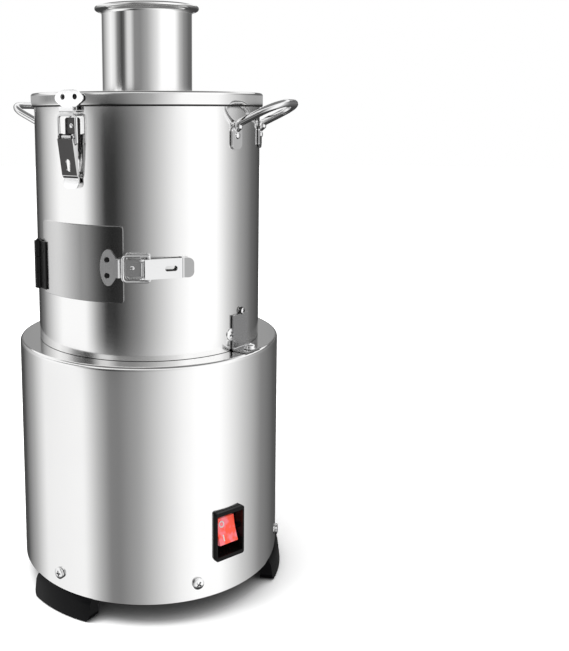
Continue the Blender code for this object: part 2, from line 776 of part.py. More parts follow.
def make_switch():
    frame = switch_frame()
    outer = rectangle(SWITCH_WIDTH, SWITCH_TALL, SWITCH_CORNER)
    bezel = piece("switch_bezel", sheet([outer], -SWITCH_SKIRT, SWITCH_PROUD), SWITCH_PLASTIC, frame)
    wall = rod(BASE_RADIUS + SEAT_GAP, SHELL_BOTTOM, SHELL_TOP, LARGE_STEPS)
    cut(bezel, cutter("bezel_back", wall))
    body = rectangle(SWITCH_BODY_WIDTH, SWITCH_BODY_TALL)
    join(bezel, cutter("switch_body", sheet([body], -SWITCH_BODY_DEPTH, SWITCH_PROUD / 2), frame))
    well = rectangle(SWITCH_WELL_WIDTH, SWITCH_WELL_TALL)
    cut(bezel, cutter("switch_well", sheet([well], -SWITCH_WELL_DEPTH, SWITCH_PROUD + OVERRUN), frame))
    end = ROCKER_TALL / 2
    keel = ROCKER_KEEL_WIDTH / 2
    side = [(end, ROCKER_END_HEIGHT), (0, ROCKER_MIDDLE_HEIGHT), (-end, ROCKER_END_HEIGHT)]
    side += [(-end, -ROCKER_SIDE), (-keel, -ROCKER_KEEL), (keel, -ROCKER_KEEL), (end, -ROCKER_SIDE)]
    tilt = Matrix.Rotation(math.radians(-ROCKER_TILT), 4, "X")
    across = Matrix.Rotation(math.radians(90), 4, "Y")
    pivot = frame @ Matrix.Translation((0, ROCKER_RAISE, -ROCKER_PIVOT_DEPTH))
    axis = axis_empty("switch_rocker_axis", pivot)
    rocker = piece("switch_rocker", side_sheet([side], ROCKER_WIDTH), ROCKER_RED, pivot @ tilt, axis)
    seat = ROCKER_WIDTH / 2 + SEAT_GAP
    wall_middle = (SWITCH_WELL_WIDTH / 2 + SWITCH_BODY_WIDTH / 2) / 2
    tip = ROCKER_WIDTH / 2 - ROCKER_PIN_REACH
    for index, turn in enumerate((0, 180)):
        place = pivot @ Matrix.Rotation(math.radians(turn), 4, "Z") @ across
        outline = [(0, wall_middle), (ROCKER_BOSS, wall_middle), (ROCKER_BOSS, seat)]
        outline += [(ROCKER_PIN, seat), (ROCKER_PIN, tip), (0, tip)]
        join(bezel, cutter(f"rocker_boss_{index + 1}", turned(outline, SMALL_STEPS), place))
        bore = rod(ROCKER_PIN + PIN_GAP, tip - SEAT_GAP, wall_middle, SMALL_STEPS)
        cut(rocker, cutter(f"rocker_bore_{index + 1}", bore, place))


def make_cord_gland():
    top = SEAT_GAP + GLAND_PROUD
    nut_top = -GLAND_NUT_SET
    nut_under = nut_top - GLAND_NUT_THICK
    profile = [(GLAND_BORE, top), (GLAND_FLANGE - GLAND_EDGE, top), (GLAND_FLANGE, top - GLAND_EDGE)]
    profile += [(GLAND_FLANGE, SEAT_GAP), (GLAND_BODY, SEAT_GAP), (GLAND_BODY, nut_top)]
    profile += [(GLAND_NUT, nut_top), (GLAND_NUT, nut_under), (GLAND_BODY, nut_under)]
    profile += [(GLAND_BODY, -GLAND_LENGTH), (GLAND_BORE, -GLAND_LENGTH)]
    piece("cord_gland", turned(profile, SMALL_STEPS), GLAND_PLASTIC, gland_frame())


# The motor


def make_motor():
    seat = BEARING_RADIUS + PIN_GAP
    head = MOTOR_TOP - MOTOR_HEAD
    flange = MOTOR_TOP - MOTOR_FLANGE_THICK
    bore = SHAFT_RADIUS + RUNNING_GAP
    ledge = MOTOR_TOP - BEARING_SHOULDER
    housing = [(bore, MOTOR_TOP), (MOTOR_FLANGE, MOTOR_TOP), (MOTOR_FLANGE, flange)]
    housing += [(MOTOR_RADIUS, flange), (MOTOR_RADIUS, MOTOR_BOTTOM), (MOTOR_BORE, MOTOR_BOTTOM)]
    housing += [(MOTOR_BORE, head), (seat, head), (seat, ledge), (bore, ledge)]
    piece("motor_housing", turned(housing, MEDIUM_STEPS), MOTOR_IRON)
    bell_top = MOTOR_BOTTOM - SEAT_GAP
    hub_bottom = END_BELL_BOTTOM - END_BELL_HUB_DROP
    shoulder = hub_bottom + BEARING_SHOULDER
    bell = [(seat, bell_top), (MOTOR_RADIUS, bell_top), (MOTOR_RADIUS, END_BELL_BOTTOM)]
    bell += [(END_BELL_HUB, END_BELL_BOTTOM), (END_BELL_HUB, hub_bottom)]
    bell += [(bore, hub_bottom), (bore, shoulder), (seat, shoulder)]
    piece("motor_end_bell", turned(bell, MEDIUM_STEPS), MOTOR_IRON)
    upper = ledge - SEAT_GAP
    lower = shoulder + SEAT_GAP
    ring = tube(bore, BEARING_RADIUS, upper - BEARING_LENGTH, upper, MEDIUM_STEPS)
    piece("upper_bearing", ring, BEARING_STEEL)
    ring = tube(bore, BEARING_RADIUS, lower, lower + BEARING_LENGTH, MEDIUM_STEPS)
    piece("lower_bearing", ring, BEARING_STEEL)


def make_capacitor():
    frame = Matrix.Rotation(math.radians(CAPACITOR_AZIMUTH), 4, "Z") @ Matrix.Translation(
        (0, -CAPACITOR_PLACE, SHELL_BOTTOM + PLATE_WALL + SEAT_GAP)
    )
    inner_edge = CAPACITOR_RADIUS - CAPACITOR_EDGE
    profile = [(0, CAPACITOR_HEIGHT), (inner_edge, CAPACITOR_HEIGHT)]
    profile += [(CAPACITOR_RADIUS, CAPACITOR_HEIGHT - CAPACITOR_EDGE), (CAPACITOR_RADIUS, 0), (0, 0)]
    piece("run_capacitor", turned(profile, MEDIUM_STEPS), CAPACITOR_SHELL, frame)
    inside = CAPACITOR_RADIUS + SEAT_GAP
    outside = inside + CLIP_THICK
    strap = tube(inside, outside, 0, CLIP_HEIGHT, MEDIUM_STEPS)
    clip = piece("capacitor_clip", strap, PLATE_STEEL, frame)
    middle = outside + (CLIP_FOOT - CLIP_THICK) / 2
    tab = block((CLIP_FOOT, CLIP_FOOT, CLIP_THICK), (middle, 0, CLIP_THICK / 2))
    join(clip, cutter("clip_foot", tab, frame))


# What the shaft turns


def make_rotor():
    axis = axis_empty("rotor_axis", Matrix.Translation((0, 0, DISC_TOP)))
    shoulder = NUT_BOTTOM
    profile = [(0, SHAFT_TOP), (SHAFT_THREAD, SHAFT_TOP), (SHAFT_THREAD, shoulder)]
    profile += [(SHAFT_RADIUS, shoulder), (SHAFT_RADIUS, SHAFT_BOTTOM), (0, SHAFT_BOTTOM)]
    piece("motor_shaft", turned(profile, MEDIUM_STEPS), BEARING_STEEL, carrier=axis)
    core_top = MOTOR_TOP - MOTOR_HEAD - MOTOR_CORE_DROP
    core = tube(SHAFT_BORE, MOTOR_CORE_RADIUS, core_top - MOTOR_CORE_LENGTH, core_top, MEDIUM_STEPS)
    piece("motor_rotor", core, MOTOR_IRON, carrier=axis)
    make_fan(axis)
    make_disc(axis)
    make_paddles(axis)
    crown = NUT_BOTTOM + NUT_HEIGHT
    profile = [(0, crown + NUT_DOME), (NUT_RADIUS / 2, crown + NUT_DOME), (NUT_RADIUS, crown)]
    profile += [(NUT_RADIUS, NUT_BOTTOM), (0, NUT_BOTTOM)]
    nut = piece("clamp_nut", turned(profile, NUT_SIDES), BRIGHT_STEEL, carrier=axis)
    bore = rod(SHAFT_THREAD + PIN_GAP, NUT_BOTTOM - OVERRUN, SHAFT_TOP + PIN_GAP, MEDIUM_STEPS)
    cut(nut, cutter("nut_bore", bore))


def make_fan(axis):
    bottom = FAN_TOP - FAN_HEIGHT
    hub = tube(SHAFT_BORE, FAN_HUB, bottom, FAN_TOP, MEDIUM_STEPS)
    fan = piece("cooling_fan", hub, FAN_PLASTIC, carrier=axis)
    length = FAN_RADIUS - FAN_HUB
    root = FAN_HUB - FAN_BLADE_THICK
    chord = FAN_HEIGHT / math.cos(math.radians(FAN_PITCH))
    for index in range(FAN_BLADES):
        blade = block((FAN_BLADE_THICK, length, chord), (0, -root - length / 2, 0))
        spoke = Matrix.Rotation(math.tau * index / FAN_BLADES, 4, "Z")
        height = Matrix.Translation((0, 0, bottom + FAN_HEIGHT / 2))
        pitch = Matrix.Rotation(math.radians(FAN_PITCH), 4, "Y")
        join(fan, cutter(f"fan_blade_{index + 1}", blade, spoke @ height @ pitch))


def make_disc(axis):
    under = DISC_TOP - DISC_THICK
    rim = DISC_TOP + DISC_RIM
    profile = [(SHAFT_BORE, DISC_TOP), (DISC_RADIUS - DISC_THICK, DISC_TOP)]
    profile += [(DISC_RADIUS - DISC_THICK / 2, rim), (DISC_RADIUS, rim), (DISC_RADIUS, under)]
    hub_end = DISC_TOP - DISC_HUB_LENGTH
    profile += [(DISC_HUB, under), (DISC_HUB, hub_end), (SHAFT_BORE, hub_end)]
    piece("peeling_disc", turned(profile, TUBE_STEPS), PLATE_STEEL, carrier=axis)


def paddle_outline():
    """A paddle seen from above: it leaves the hub straight out and sweeps back towards its tip."""
    path = []
    steps = 2 * ARC_STEPS
    start = PADDLE_HUB - PADDLE_THICK / 2
    for step in range(steps + 1):
        share = step / steps
        radius = start + (PADDLE_REACH - start) * share
        angle = math.radians(PADDLE_SWEEP) * share * share
        path.append((radius * math.sin(angle), -radius * math.cos(angle), share))
    left = []
    right = []
    for index, (x, y, share) in enumerate(path):
        before = path[max(index - 1, 0)]
        after = path[min(index + 1, steps)]
        thick = PADDLE_THICK + (PADDLE_TIP_THICK - PADDLE_THICK) * share
        along = Vector((after[0] - before[0], after[1] - before[1])).normalized() * thick / 2
        left.append((x - along.y, y + along.x))
        right.append((x + along.y, y - along.x))
    return left + right[::-1]


def make_paddles(axis):
    hub = tube(SHAFT_BORE, PADDLE_HUB, PADDLE_BOTTOM, PADDLE_BOTTOM + PADDLE_HUB_HEIGHT, MEDIUM_STEPS)
    paddles = piece("silicone_paddles", hub, SILICONE, carrier=axis)
    for index in range(PADDLE_COUNT):
        blade = sheet([paddle_outline()], PADDLE_BOTTOM, PADDLE_BOTTOM + PADDLE_HEIGHT)
        spoke = Matrix.Rotation(math.tau * (index + 1 / 2) / PADDLE_COUNT, 4, "Z")
        join(paddles, cutter(f"paddle_{index + 1}", blade, spoke))


# The barrel


def make_barrel():
    corner = (BARREL_RADIUS - BARREL_CORNER, BARREL_BOTTOM + BARREL_CORNER)
    hole = SEAL_RADIUS + SEAT_GAP
    profile = [(BARREL_INSIDE, BARREL_TOP), (BARREL_RADIUS, BARREL_TOP)]
    profile += arc(corner, BARREL_CORNER, 0, -90)
    profile += [(hole, BARREL_BOTTOM), (hole, FLOOR_TOP)]
    inner = BARREL_CORNER - BARREL_FLOOR
    profile += arc((BARREL_INSIDE - inner, FLOOR_TOP + inner), inner, -90, 0)
    barrel = piece("barrel", turned(profile, LARGE_STEPS), DRUM_STEEL)
    width = 2 * DOOR_OUTSIDE * math.sin(math.radians(DOOR_ARC / 2)) - 2 * DOOR_LAP
    opening = rectangle(width, DOOR_TALL - 2 * DOOR_LAP, DOOR_HOLE_CORNER)
    through = sheet([opening], -BARREL_RADIUS / 2, OVERRUN)
    cut(barrel, cutter("door_opening", through, wall_frame(0, DOOR_MIDDLE, BARREL_RADIUS)))
    bore = SHAFT_RADIUS + RUNNING_GAP
    flange = FLOOR_TOP + SEAT_GAP + SEAL_FLANGE_THICK
    seal = [(bore, flange), (SEAL_FLANGE, flange), (SEAL_FLANGE, FLOOR_TOP + SEAT_GAP)]
    seal += [(SEAL_RADIUS, FLOOR_TOP + SEAT_GAP), (SEAL_RADIUS, BARREL_BOTTOM), (bore, BARREL_BOTTOM)]
    piece("shaft_seal", turned(seal, MEDIUM_STEPS), HINGE_BLACK)


def make_brackets():
    bend_out = SEAT_GAP + BRACKET_THICK / 2
    path = [(BRACKET_TALL, bend_out), (bend_out, bend_out), (bend_out, BRACKET_FOOT)]
    bent = flat(rounded(path, BRACKET_BEND, closed=False))
    for index, azimuth in enumerate(bracket_azimuths()):
        mesh = side_sheet([ribbon(bent, BRACKET_THICK)], BRACKET_WIDTH)
        bracket = piece(f"barrel_bracket_{index + 1}", mesh, BRIGHT_STEEL, bracket_frame(azimuth))
        upright = bolt_frame(azimuth)
        hole = rod(BOLT_SHANK + SEAT_GAP, -OVERRUN, OVERRUN, TINY_STEPS)
        cut(bracket, cutter(f"bracket_hole_{index + 1}", hole, upright))
        washer = SEAT_GAP + BRACKET_THICK + SEAT_GAP
        head = washer + BOLT_WASHER_THICK
        profile = [(0, head + BOLT_HEAD_HEIGHT), (BOLT_HEAD_RADIUS, head + BOLT_HEAD_HEIGHT)]
        profile += [(BOLT_HEAD_RADIUS, head), (BOLT_WASHER, head), (BOLT_WASHER, washer)]
        profile += [(BOLT_SHANK, washer), (BOLT_SHANK, -BOLT_LENGTH), (0, -BOLT_LENGTH)]
        piece(f"bracket_bolt_{index + 1}", turned(profile, TINY_STEPS), BRIGHT_STEEL, upright)


def make_handles():
    for side, azimuth in (("right", HANDLE_AZIMUTH), ("left", HANDLE_AZIMUTH - 180)):
        make_handle(f"handle_{side}", azimuth)


def make_handle(name, azimuth):
    """A bent wire whose two ends are flattened into pads, each riveted to the barrel."""
    middle = wall_frame(azimuth, HANDLE_HEIGHT, 0)
    to_middle = middle.inverted()
    turns = (azimuth - HANDLE_HALF_ARC, azimuth + HANDLE_HALF_ARC)
    ends = [wall_frame(turn, HANDLE_HEIGHT, BARREL_RADIUS) for turn in turns]
    wire_out = SEAT_GAP + HANDLE_WIRE
    pad_out = SEAT_GAP + HANDLE_PAD_THICK / 2
    path = []
    for frame in ends:
        leg = [Vector((0, HANDLE_FLAT_END, pad_out)), Vector((0, HANDLE_FLAT_START, wire_out))]
        leg.append(Vector((0, HANDLE_NECK, wire_out)))
        path.append([to_middle @ frame @ point for point in leg])
    start = path[0][-1]
    rise = (HANDLE_REACH - start.z) * math.tan(math.radians(HANDLE_TILT))
    tip = Vector((start.x, start.y + rise, HANDLE_REACH))
    other_tip = Vector((-tip.x, tip.y, tip.z))
    corners = path[0] + [tip, other_tip] + path[1][::-1]
    radii = [0, 0, HANDLE_NECK_CORNER, HANDLE_CORNER, HANDLE_CORNER, HANDLE_NECK_CORNER, 0, 0]
    bent = rounded(corners, radii, closed=False, steps=2 * ARC_STEPS)
    shares = [1] * len(bent)
    shares[0] = shares[-1] = HANDLE_FLAT_SHARES[0]
    shares[1] = shares[-2] = HANDLE_FLAT_SHARES[1]
    handle = piece(name, wire(bent, HANDLE_WIRE, 1, shares), BRIGHT_STEEL, middle)
    outline = rectangle(HANDLE_PAD_WIDTH, HANDLE_PAD_TALL, HANDLE_PAD_CORNER)
    for index, frame in enumerate(ends):
        pad = sheet([outline], SEAT_GAP, SEAT_GAP + HANDLE_PAD_THICK)
        join(handle, cutter(f"{name}_pad_{index + 1}", pad, frame))
        top = SEAT_GAP + HANDLE_PAD_THICK + HANDLE_RIVET_PROUD
        low = SEAT_GAP + HANDLE_PAD_THICK / 2
        head = [(0, top), (HANDLE_RIVET / 2, top), (HANDLE_RIVET, (top + low) / 2)]
        head += [(HANDLE_RIVET, low), (0, low)]
        place = frame @ Matrix.Translation((0, HANDLE_RIVET_RAISE, 0))
        join(handle, cutter(f"{name}_rivet_{index + 1}", turned(head, TINY_STEPS), place))


# The lid


def make_lid():
    axis = axis_empty("lid_axis", Matrix.Translation((0, 0, LID_TOP)))
    inside = LID_RADIUS - LID_WALL
    hole = TUBE_RADIUS + SEAT_GAP
    skirt = LID_TOP - LID_SKIRT
    corner = (LID_RADIUS - LID_EDGE, LID_TOP - LID_EDGE)
    profile = [(hole, LID_TOP)] + arc(corner, LID_EDGE, 90, 0)
    profile += [(LID_RADIUS, skirt), (inside, skirt)]
    profile += arc(corner, LID_EDGE - LID_WALL, 0, 90) + [(hole, LID_UNDER)]
    piece("lid", turned(profile, LARGE_STEPS), DRUM_STEEL, carrier=axis)
    gasket_top = LID_UNDER - SEAT_GAP
    gasket_outside = inside - SEAT_GAP
    gasket_inside = gasket_outside - GASKET_WIDTH
    gasket_bottom = gasket_top - GASKET_THICK
    ring = tube(gasket_inside, gasket_outside, gasket_bottom, gasket_top, LARGE_STEPS)
    piece("lid_gasket", ring, SILICONE, carrier=axis)
    make_feed_tube(axis)
    for end, azimuth in LID_LATCH_AZIMUTHS.items():
        height = LID_TOP - LID_STRIKE_DROPS[end]
        make_strike(f"lid_strike_{end}", wall_frame(azimuth, height, LID_RADIUS), axis)


def make_feed_tube(axis):
    inside = TUBE_RADIUS - TUBE_WALL
    bead = (TUBE_RADIUS + RIM_REACH - RIM_BEAD, TUBE_TOP - RIM_BEAD)
    flare_start = bead[1] - RIM_FLARE
    seat = LID_TOP + SEAT_GAP
    under = LID_UNDER - SEAT_GAP
    throat_share, throat_drop_share, half_flare_share = RIM_SHARES
    throat = (bead[0] - RIM_BEAD * throat_share, TUBE_TOP - RIM_BEAD * throat_drop_share)
    profile = [(inside, flare_start), throat]
    profile += arc(bead, RIM_BEAD, 90, -90, 2 * ARC_STEPS)
    half_flare = (TUBE_RADIUS + RIM_REACH * half_flare_share, bead[1] - RIM_FLARE / 2)
    profile += [half_flare, (TUBE_RADIUS, flare_start)]
    profile += [(TUBE_RADIUS, seat + TUBE_WELD), (TUBE_RADIUS + TUBE_WELD, seat), (TUBE_RADIUS, seat)]
    profile += [(TUBE_RADIUS, under), (TUBE_RADIUS + TUBE_COLLAR, under)]
    collar_under = under - TUBE_COLLAR_THICK
    profile += [(TUBE_RADIUS + TUBE_COLLAR, collar_under), (TUBE_RADIUS, collar_under)]
    profile += [(TUBE_RADIUS, LID_UNDER - TUBE_DROP), (inside, LID_UNDER - TUBE_DROP)]
    piece("feed_tube", turned(profile, TUBE_STEPS), DRUM_STEEL, carrier=axis)


def make_strike(name, frame, carrier):
    """A riveted plate with two ears whose neck curls out into a hook for the bail."""
    y = STRIKE_TALL / 2
    neck = STRIKE_NECK / 2
    end = HOOK_DROP + STRIKE_THICK / 2
    ears = arc((0, 0), 1, *STRIKE_EAR_ANGLES, STRIKE_EAR_STEPS)
    outline = [(across * STRIKE_WIDTH / 2, along * y) for across, along in ears]
    outline += [(-neck, -y), (-neck, -end), (neck, -end), (neck, -y)]
    plate = sheet([outline], SEAT_GAP, SEAT_GAP + STRIKE_THICK)
    plate = piece(name, plate, BRIGHT_STEEL, frame, carrier)
    middle_out = SEAT_GAP + STRIKE_THICK / 2
    curl = [(-y, middle_out)] + [
        (along, out) for out, along in arc((HOOK_OUT, -HOOK_DROP), HOOK_RADIUS, 180, 360, 2 * ARC_STEPS)
    ]
    curl.append((-HOOK_DROP + HOOK_TURN_UP, HOOK_OUT + HOOK_RADIUS))
    join(plate, cutter(f"{name}_hook", side_sheet([ribbon(curl, STRIKE_THICK)], HOOK_WIDTH), frame))
    for index, place in enumerate((-STRIKE_HOLE_OUT, STRIKE_HOLE_OUT)):
        hole = rod(STRIKE_HOLE, -OVERRUN, OVERRUN, TINY_STEPS)
        spot = frame @ Matrix.Translation((place, STRIKE_HOLE_RAISE, 0))
        cut(plate, cutter(f"{name}_hole_{index + 1}", hole, spot))


# The door


def door_shell(name, inner, outer, outline, frame, finish, carrier):
    """A curved plate: a ring round the barrel, kept only within an outline drawn on its front."""
    ring = tube(inner, outer, DOOR_BOTTOM - OVERRUN, DOOR_TOP + OVERRUN, LARGE_STEPS)
    plate = piece(name, ring, finish, carrier=carrier)
    keep_within(plate, cutter(f"{name}_outline", sheet([outline], -BARREL_RADIUS / 2, OVERRUN), frame))
    return plate


def hinge_knuckle(outline_half, low, high):
    return tube(HINGE_PIN + PIN_GAP, outline_half, low, high, SMALL_STEPS)


def make_door():
    hinge = wall_frame(HINGE_AZIMUTH, HINGE_MIDDLE, HINGE_PIN_RADIUS)
    upright = Matrix.Translation(hinge.translation)
    axis = axis_empty("door_axis", upright)
    width = 2 * DOOR_OUTSIDE * math.sin(math.radians(DOOR_ARC / 2))
    outline = rectangle(width, DOOR_TALL, DOOR_CORNER)
    front = wall_frame(0, DOOR_MIDDLE, DOOR_OUTSIDE)
    door_shell("door_panel", DOOR_INSIDE, DOOR_OUTSIDE, outline, front, DOOR_STEEL, axis)
    make_strike("door_strike", wall_frame(DOOR_STRIKE_AZIMUTH, DOOR_LATCH_HEIGHT, DOOR_OUTSIDE, 90), axis)
    half = HINGE_TALL / 2
    third = half / HINGE_KNUCKLES
    gap = HINGE_KNUCKLE_GAP / 2
    leaf = [(HINGE_NOTCH, -half), (HINGE_LEAF, -half), (HINGE_LEAF, half), (HINGE_NOTCH, half)]
    leaf += [(HINGE_NOTCH, third - gap), (0, third - gap), (0, gap - third), (HINGE_NOTCH, gap - third)]
    inner = DOOR_OUTSIDE + SEAT_GAP
    door_leaf = door_shell("hinge_door_leaf", inner, inner + HINGE_WALL, leaf, hinge, HINGE_BLACK, axis)
    knuckle = hinge_knuckle(HINGE_KNUCKLE, gap - third, third - gap)
    join(door_leaf, cutter("door_knuckle", knuckle, upright))
    cut(door_leaf, cutter("door_knuckle_bore", rod(HINGE_PIN + PIN_GAP, -half, half), upright))
    make_hinge_fixed_leaf(hinge, upright)


def make_hinge_fixed_leaf(hinge, upright):
    half = HINGE_TALL / 2
    third = half / HINGE_KNUCKLES
    gap = HINGE_KNUCKLE_GAP / 2
    leaf = [(-HINGE_LEAF, -half), (0, -half), (0, -third - gap), (-HINGE_NOTCH, -third - gap)]
    leaf += [(-HINGE_NOTCH, third + gap), (0, third + gap), (0, half), (-HINGE_LEAF, half)]
    inner = BARREL_RADIUS + SEAT_GAP
    fixed = door_shell("hinge_fixed_leaf", inner, inner + HINGE_WALL, leaf, hinge, HINGE_BLACK, None)
    for index, (low, high) in enumerate(((-half, -third - gap), (third + gap, half))):
        knuckle = hinge_knuckle(HINGE_KNUCKLE, low, high)
        join(fixed, cutter(f"fixed_knuckle_{index + 1}", knuckle, upright))
    bore = rod(HINGE_PIN + PIN_GAP, -half - OVERRUN, half + OVERRUN)
    cut(fixed, cutter("fixed_knuckle_bore", bore, upright))
    end = half + HINGE_PIN_HEAD
    head = HINGE_KNUCKLE / 2
    profile = [(0, end + HINGE_PIN_HEAD), (head, end + HINGE_PIN_HEAD), (head, end), (HINGE_PIN, end)]
    profile += [(HINGE_PIN, -end), (0, -end)]
    piece("hinge_pin", turned(profile, SMALL_STEPS), HINGE_BLACK, upright)


# The latches


def lever_turn(degrees):
    """Turns a lever about its pin: a positive angle swings its free end out."""
    return Matrix.Rotation(math.radians(-degrees), 4, "X")


def make_lid_latches():
    bar_out = HOOK_OUT + LID_RADIUS - BARREL_RADIUS
    bail_fall = bar_out - (LATCH_PIN_OUT - BAIL_PIVOT_IN)
    along = math.sqrt(LID_BAIL_LENGTH ** 2 - bail_fall ** 2)
    for end, azimuth in LID_LATCH_AZIMUTHS.items():
        bar = LID_TOP - LID_STRIKE_DROPS[end] - STRIKE_TO_BAR
        frame = wall_frame(azimuth, bar - along + BAIL_PIVOT_BACK, BARREL_RADIUS)
        make_latch(f"lid_{{}}_{end}", frame, 0, LID_BAIL_LENGTH, math.degrees(math.atan2(bail_fall, along)))


def make_door_latch():
    """The base sits where the bail just reaches the door's hook, measured along the barrel's round wall."""
    lean = math.radians(DOOR_LEVER_LEAN)
    back = BAIL_PIVOT_BACK * math.cos(lean) - BAIL_PIVOT_IN * math.sin(lean)
    inward = BAIL_PIVOT_IN * math.cos(lean) + BAIL_PIVOT_BACK * math.sin(lean)
    pivot = Vector((back, BARREL_RADIUS + LATCH_PIN_OUT - inward))
    bar = Vector((STRIKE_TO_BAR, DOOR_OUTSIDE + HOOK_OUT))
    squares = pivot.length_squared + bar.length_squared - DOOR_BAIL_LENGTH ** 2
    apart = math.acos(squares / (2 * pivot.length * bar.length))
    bar_azimuth = DOOR_STRIKE_AZIMUTH + math.degrees(math.atan2(bar.x, bar.y))
    pivot_azimuth = bar_azimuth + math.degrees(apart)
    azimuth = pivot_azimuth - math.degrees(math.atan2(pivot.x, pivot.y))
    away = math.radians(azimuth - bar_azimuth)
    rise = bar.length * math.cos(away) - pivot.y
    along = bar.length * math.sin(away) + pivot.x
    frame = wall_frame(azimuth, DOOR_LATCH_HEIGHT, BARREL_RADIUS, 90)
    make_latch("door_{}", frame, -DOOR_LEVER_LEAN, DOOR_BAIL_LENGTH, math.degrees(math.atan2(rise, along)))


def make_latch(pattern, frame, lever_angle, bail_length, bail_angle):
    """Base, pin, lever and bail. In the frame, Y points at the hook and Z away from the wall."""
    pin_frame = frame @ Matrix.Translation((0, 0, LATCH_PIN_OUT))
    make_latch_base(pattern.format("latch_base"), frame, pin_frame)
    half = LATCH_PIN_LENGTH / 2
    across = Matrix.Rotation(math.radians(90), 4, "Y")
    pin = rod(LATCH_PIN, -half, half, TINY_STEPS)
    piece(pattern.format("latch_pin"), pin, BRIGHT_STEEL, pin_frame @ across)
    lever_axis = axis_empty(pattern.format("lever_axis"), pin_frame)
    lever_frame = pin_frame @ lever_turn(lever_angle)
    make_lever(pattern.format("latch_lever"), lever_frame, across, lever_axis)
    pivot = lever_frame @ Matrix.Translation((0, -BAIL_PIVOT_BACK, -BAIL_PIVOT_IN))
    upright = Matrix.Translation(pivot.translation) @ frame.to_3x3().to_4x4()
    bail_axis = axis_empty(pattern.format("bail_axis"), upright)
    bail_axis.parent = lever_axis
    bail_axis.matrix_parent_inverse = lever_axis.matrix_world.inverted()
    bpy.context.view_layer.update()
    bail_frame = upright @ Matrix.Rotation(math.radians(bail_angle), 4, "X")
    make_bail(pattern.format("latch_bail"), bail_length, bail_frame, bail_axis)


def make_latch_base(name, frame, pin_frame):
    x = LATCH_BASE_WIDTH / 2
    outline = [(-x, -LATCH_BASE_BACK), (x, -LATCH_BASE_BACK), (x, LATCH_BASE_FRONT), (-x, LATCH_BASE_FRONT)]
    plate = sheet([flat(rounded(outline, LATCH_BASE_CORNER))], SEAT_GAP, SEAT_GAP + LATCH_BASE_THICK)
    base = piece(name, plate, BRIGHT_STEEL, frame)
    foot = SEAT_GAP + LATCH_BASE_THICK / 2
    radius = LATCH_EAR_RADIUS
    ear = [(-radius, foot), (radius, foot)] + arc((0, LATCH_PIN_OUT), radius, 0, 180, 2 * ARC_STEPS)
    for index, side in enumerate((-1, 1)):
        place = side * (LATCH_EAR_OUT - LATCH_EAR_THICK / 2)
        eye = circle(LATCH_PIN + PIN_GAP, (0, LATCH_PIN_OUT), TINY_STEPS)
        mesh = side_sheet([ear, eye], LATCH_EAR_THICK)
        join(base, cutter(f"{name}_ear_{index + 1}", mesh, frame @ Matrix.Translation((place, 0, 0))))
    rivet_place = (LATCH_BASE_FRONT + LATCH_EAR_RADIUS) / 2
    for index, place in enumerate((rivet_place, -rivet_place)):
        hole = rod(LATCH_RIVET, -OVERRUN, OVERRUN, TINY_STEPS)
        cut(base, cutter(f"{name}_hole_{index + 1}", hole, frame @ Matrix.Translation((0, place, 0))))


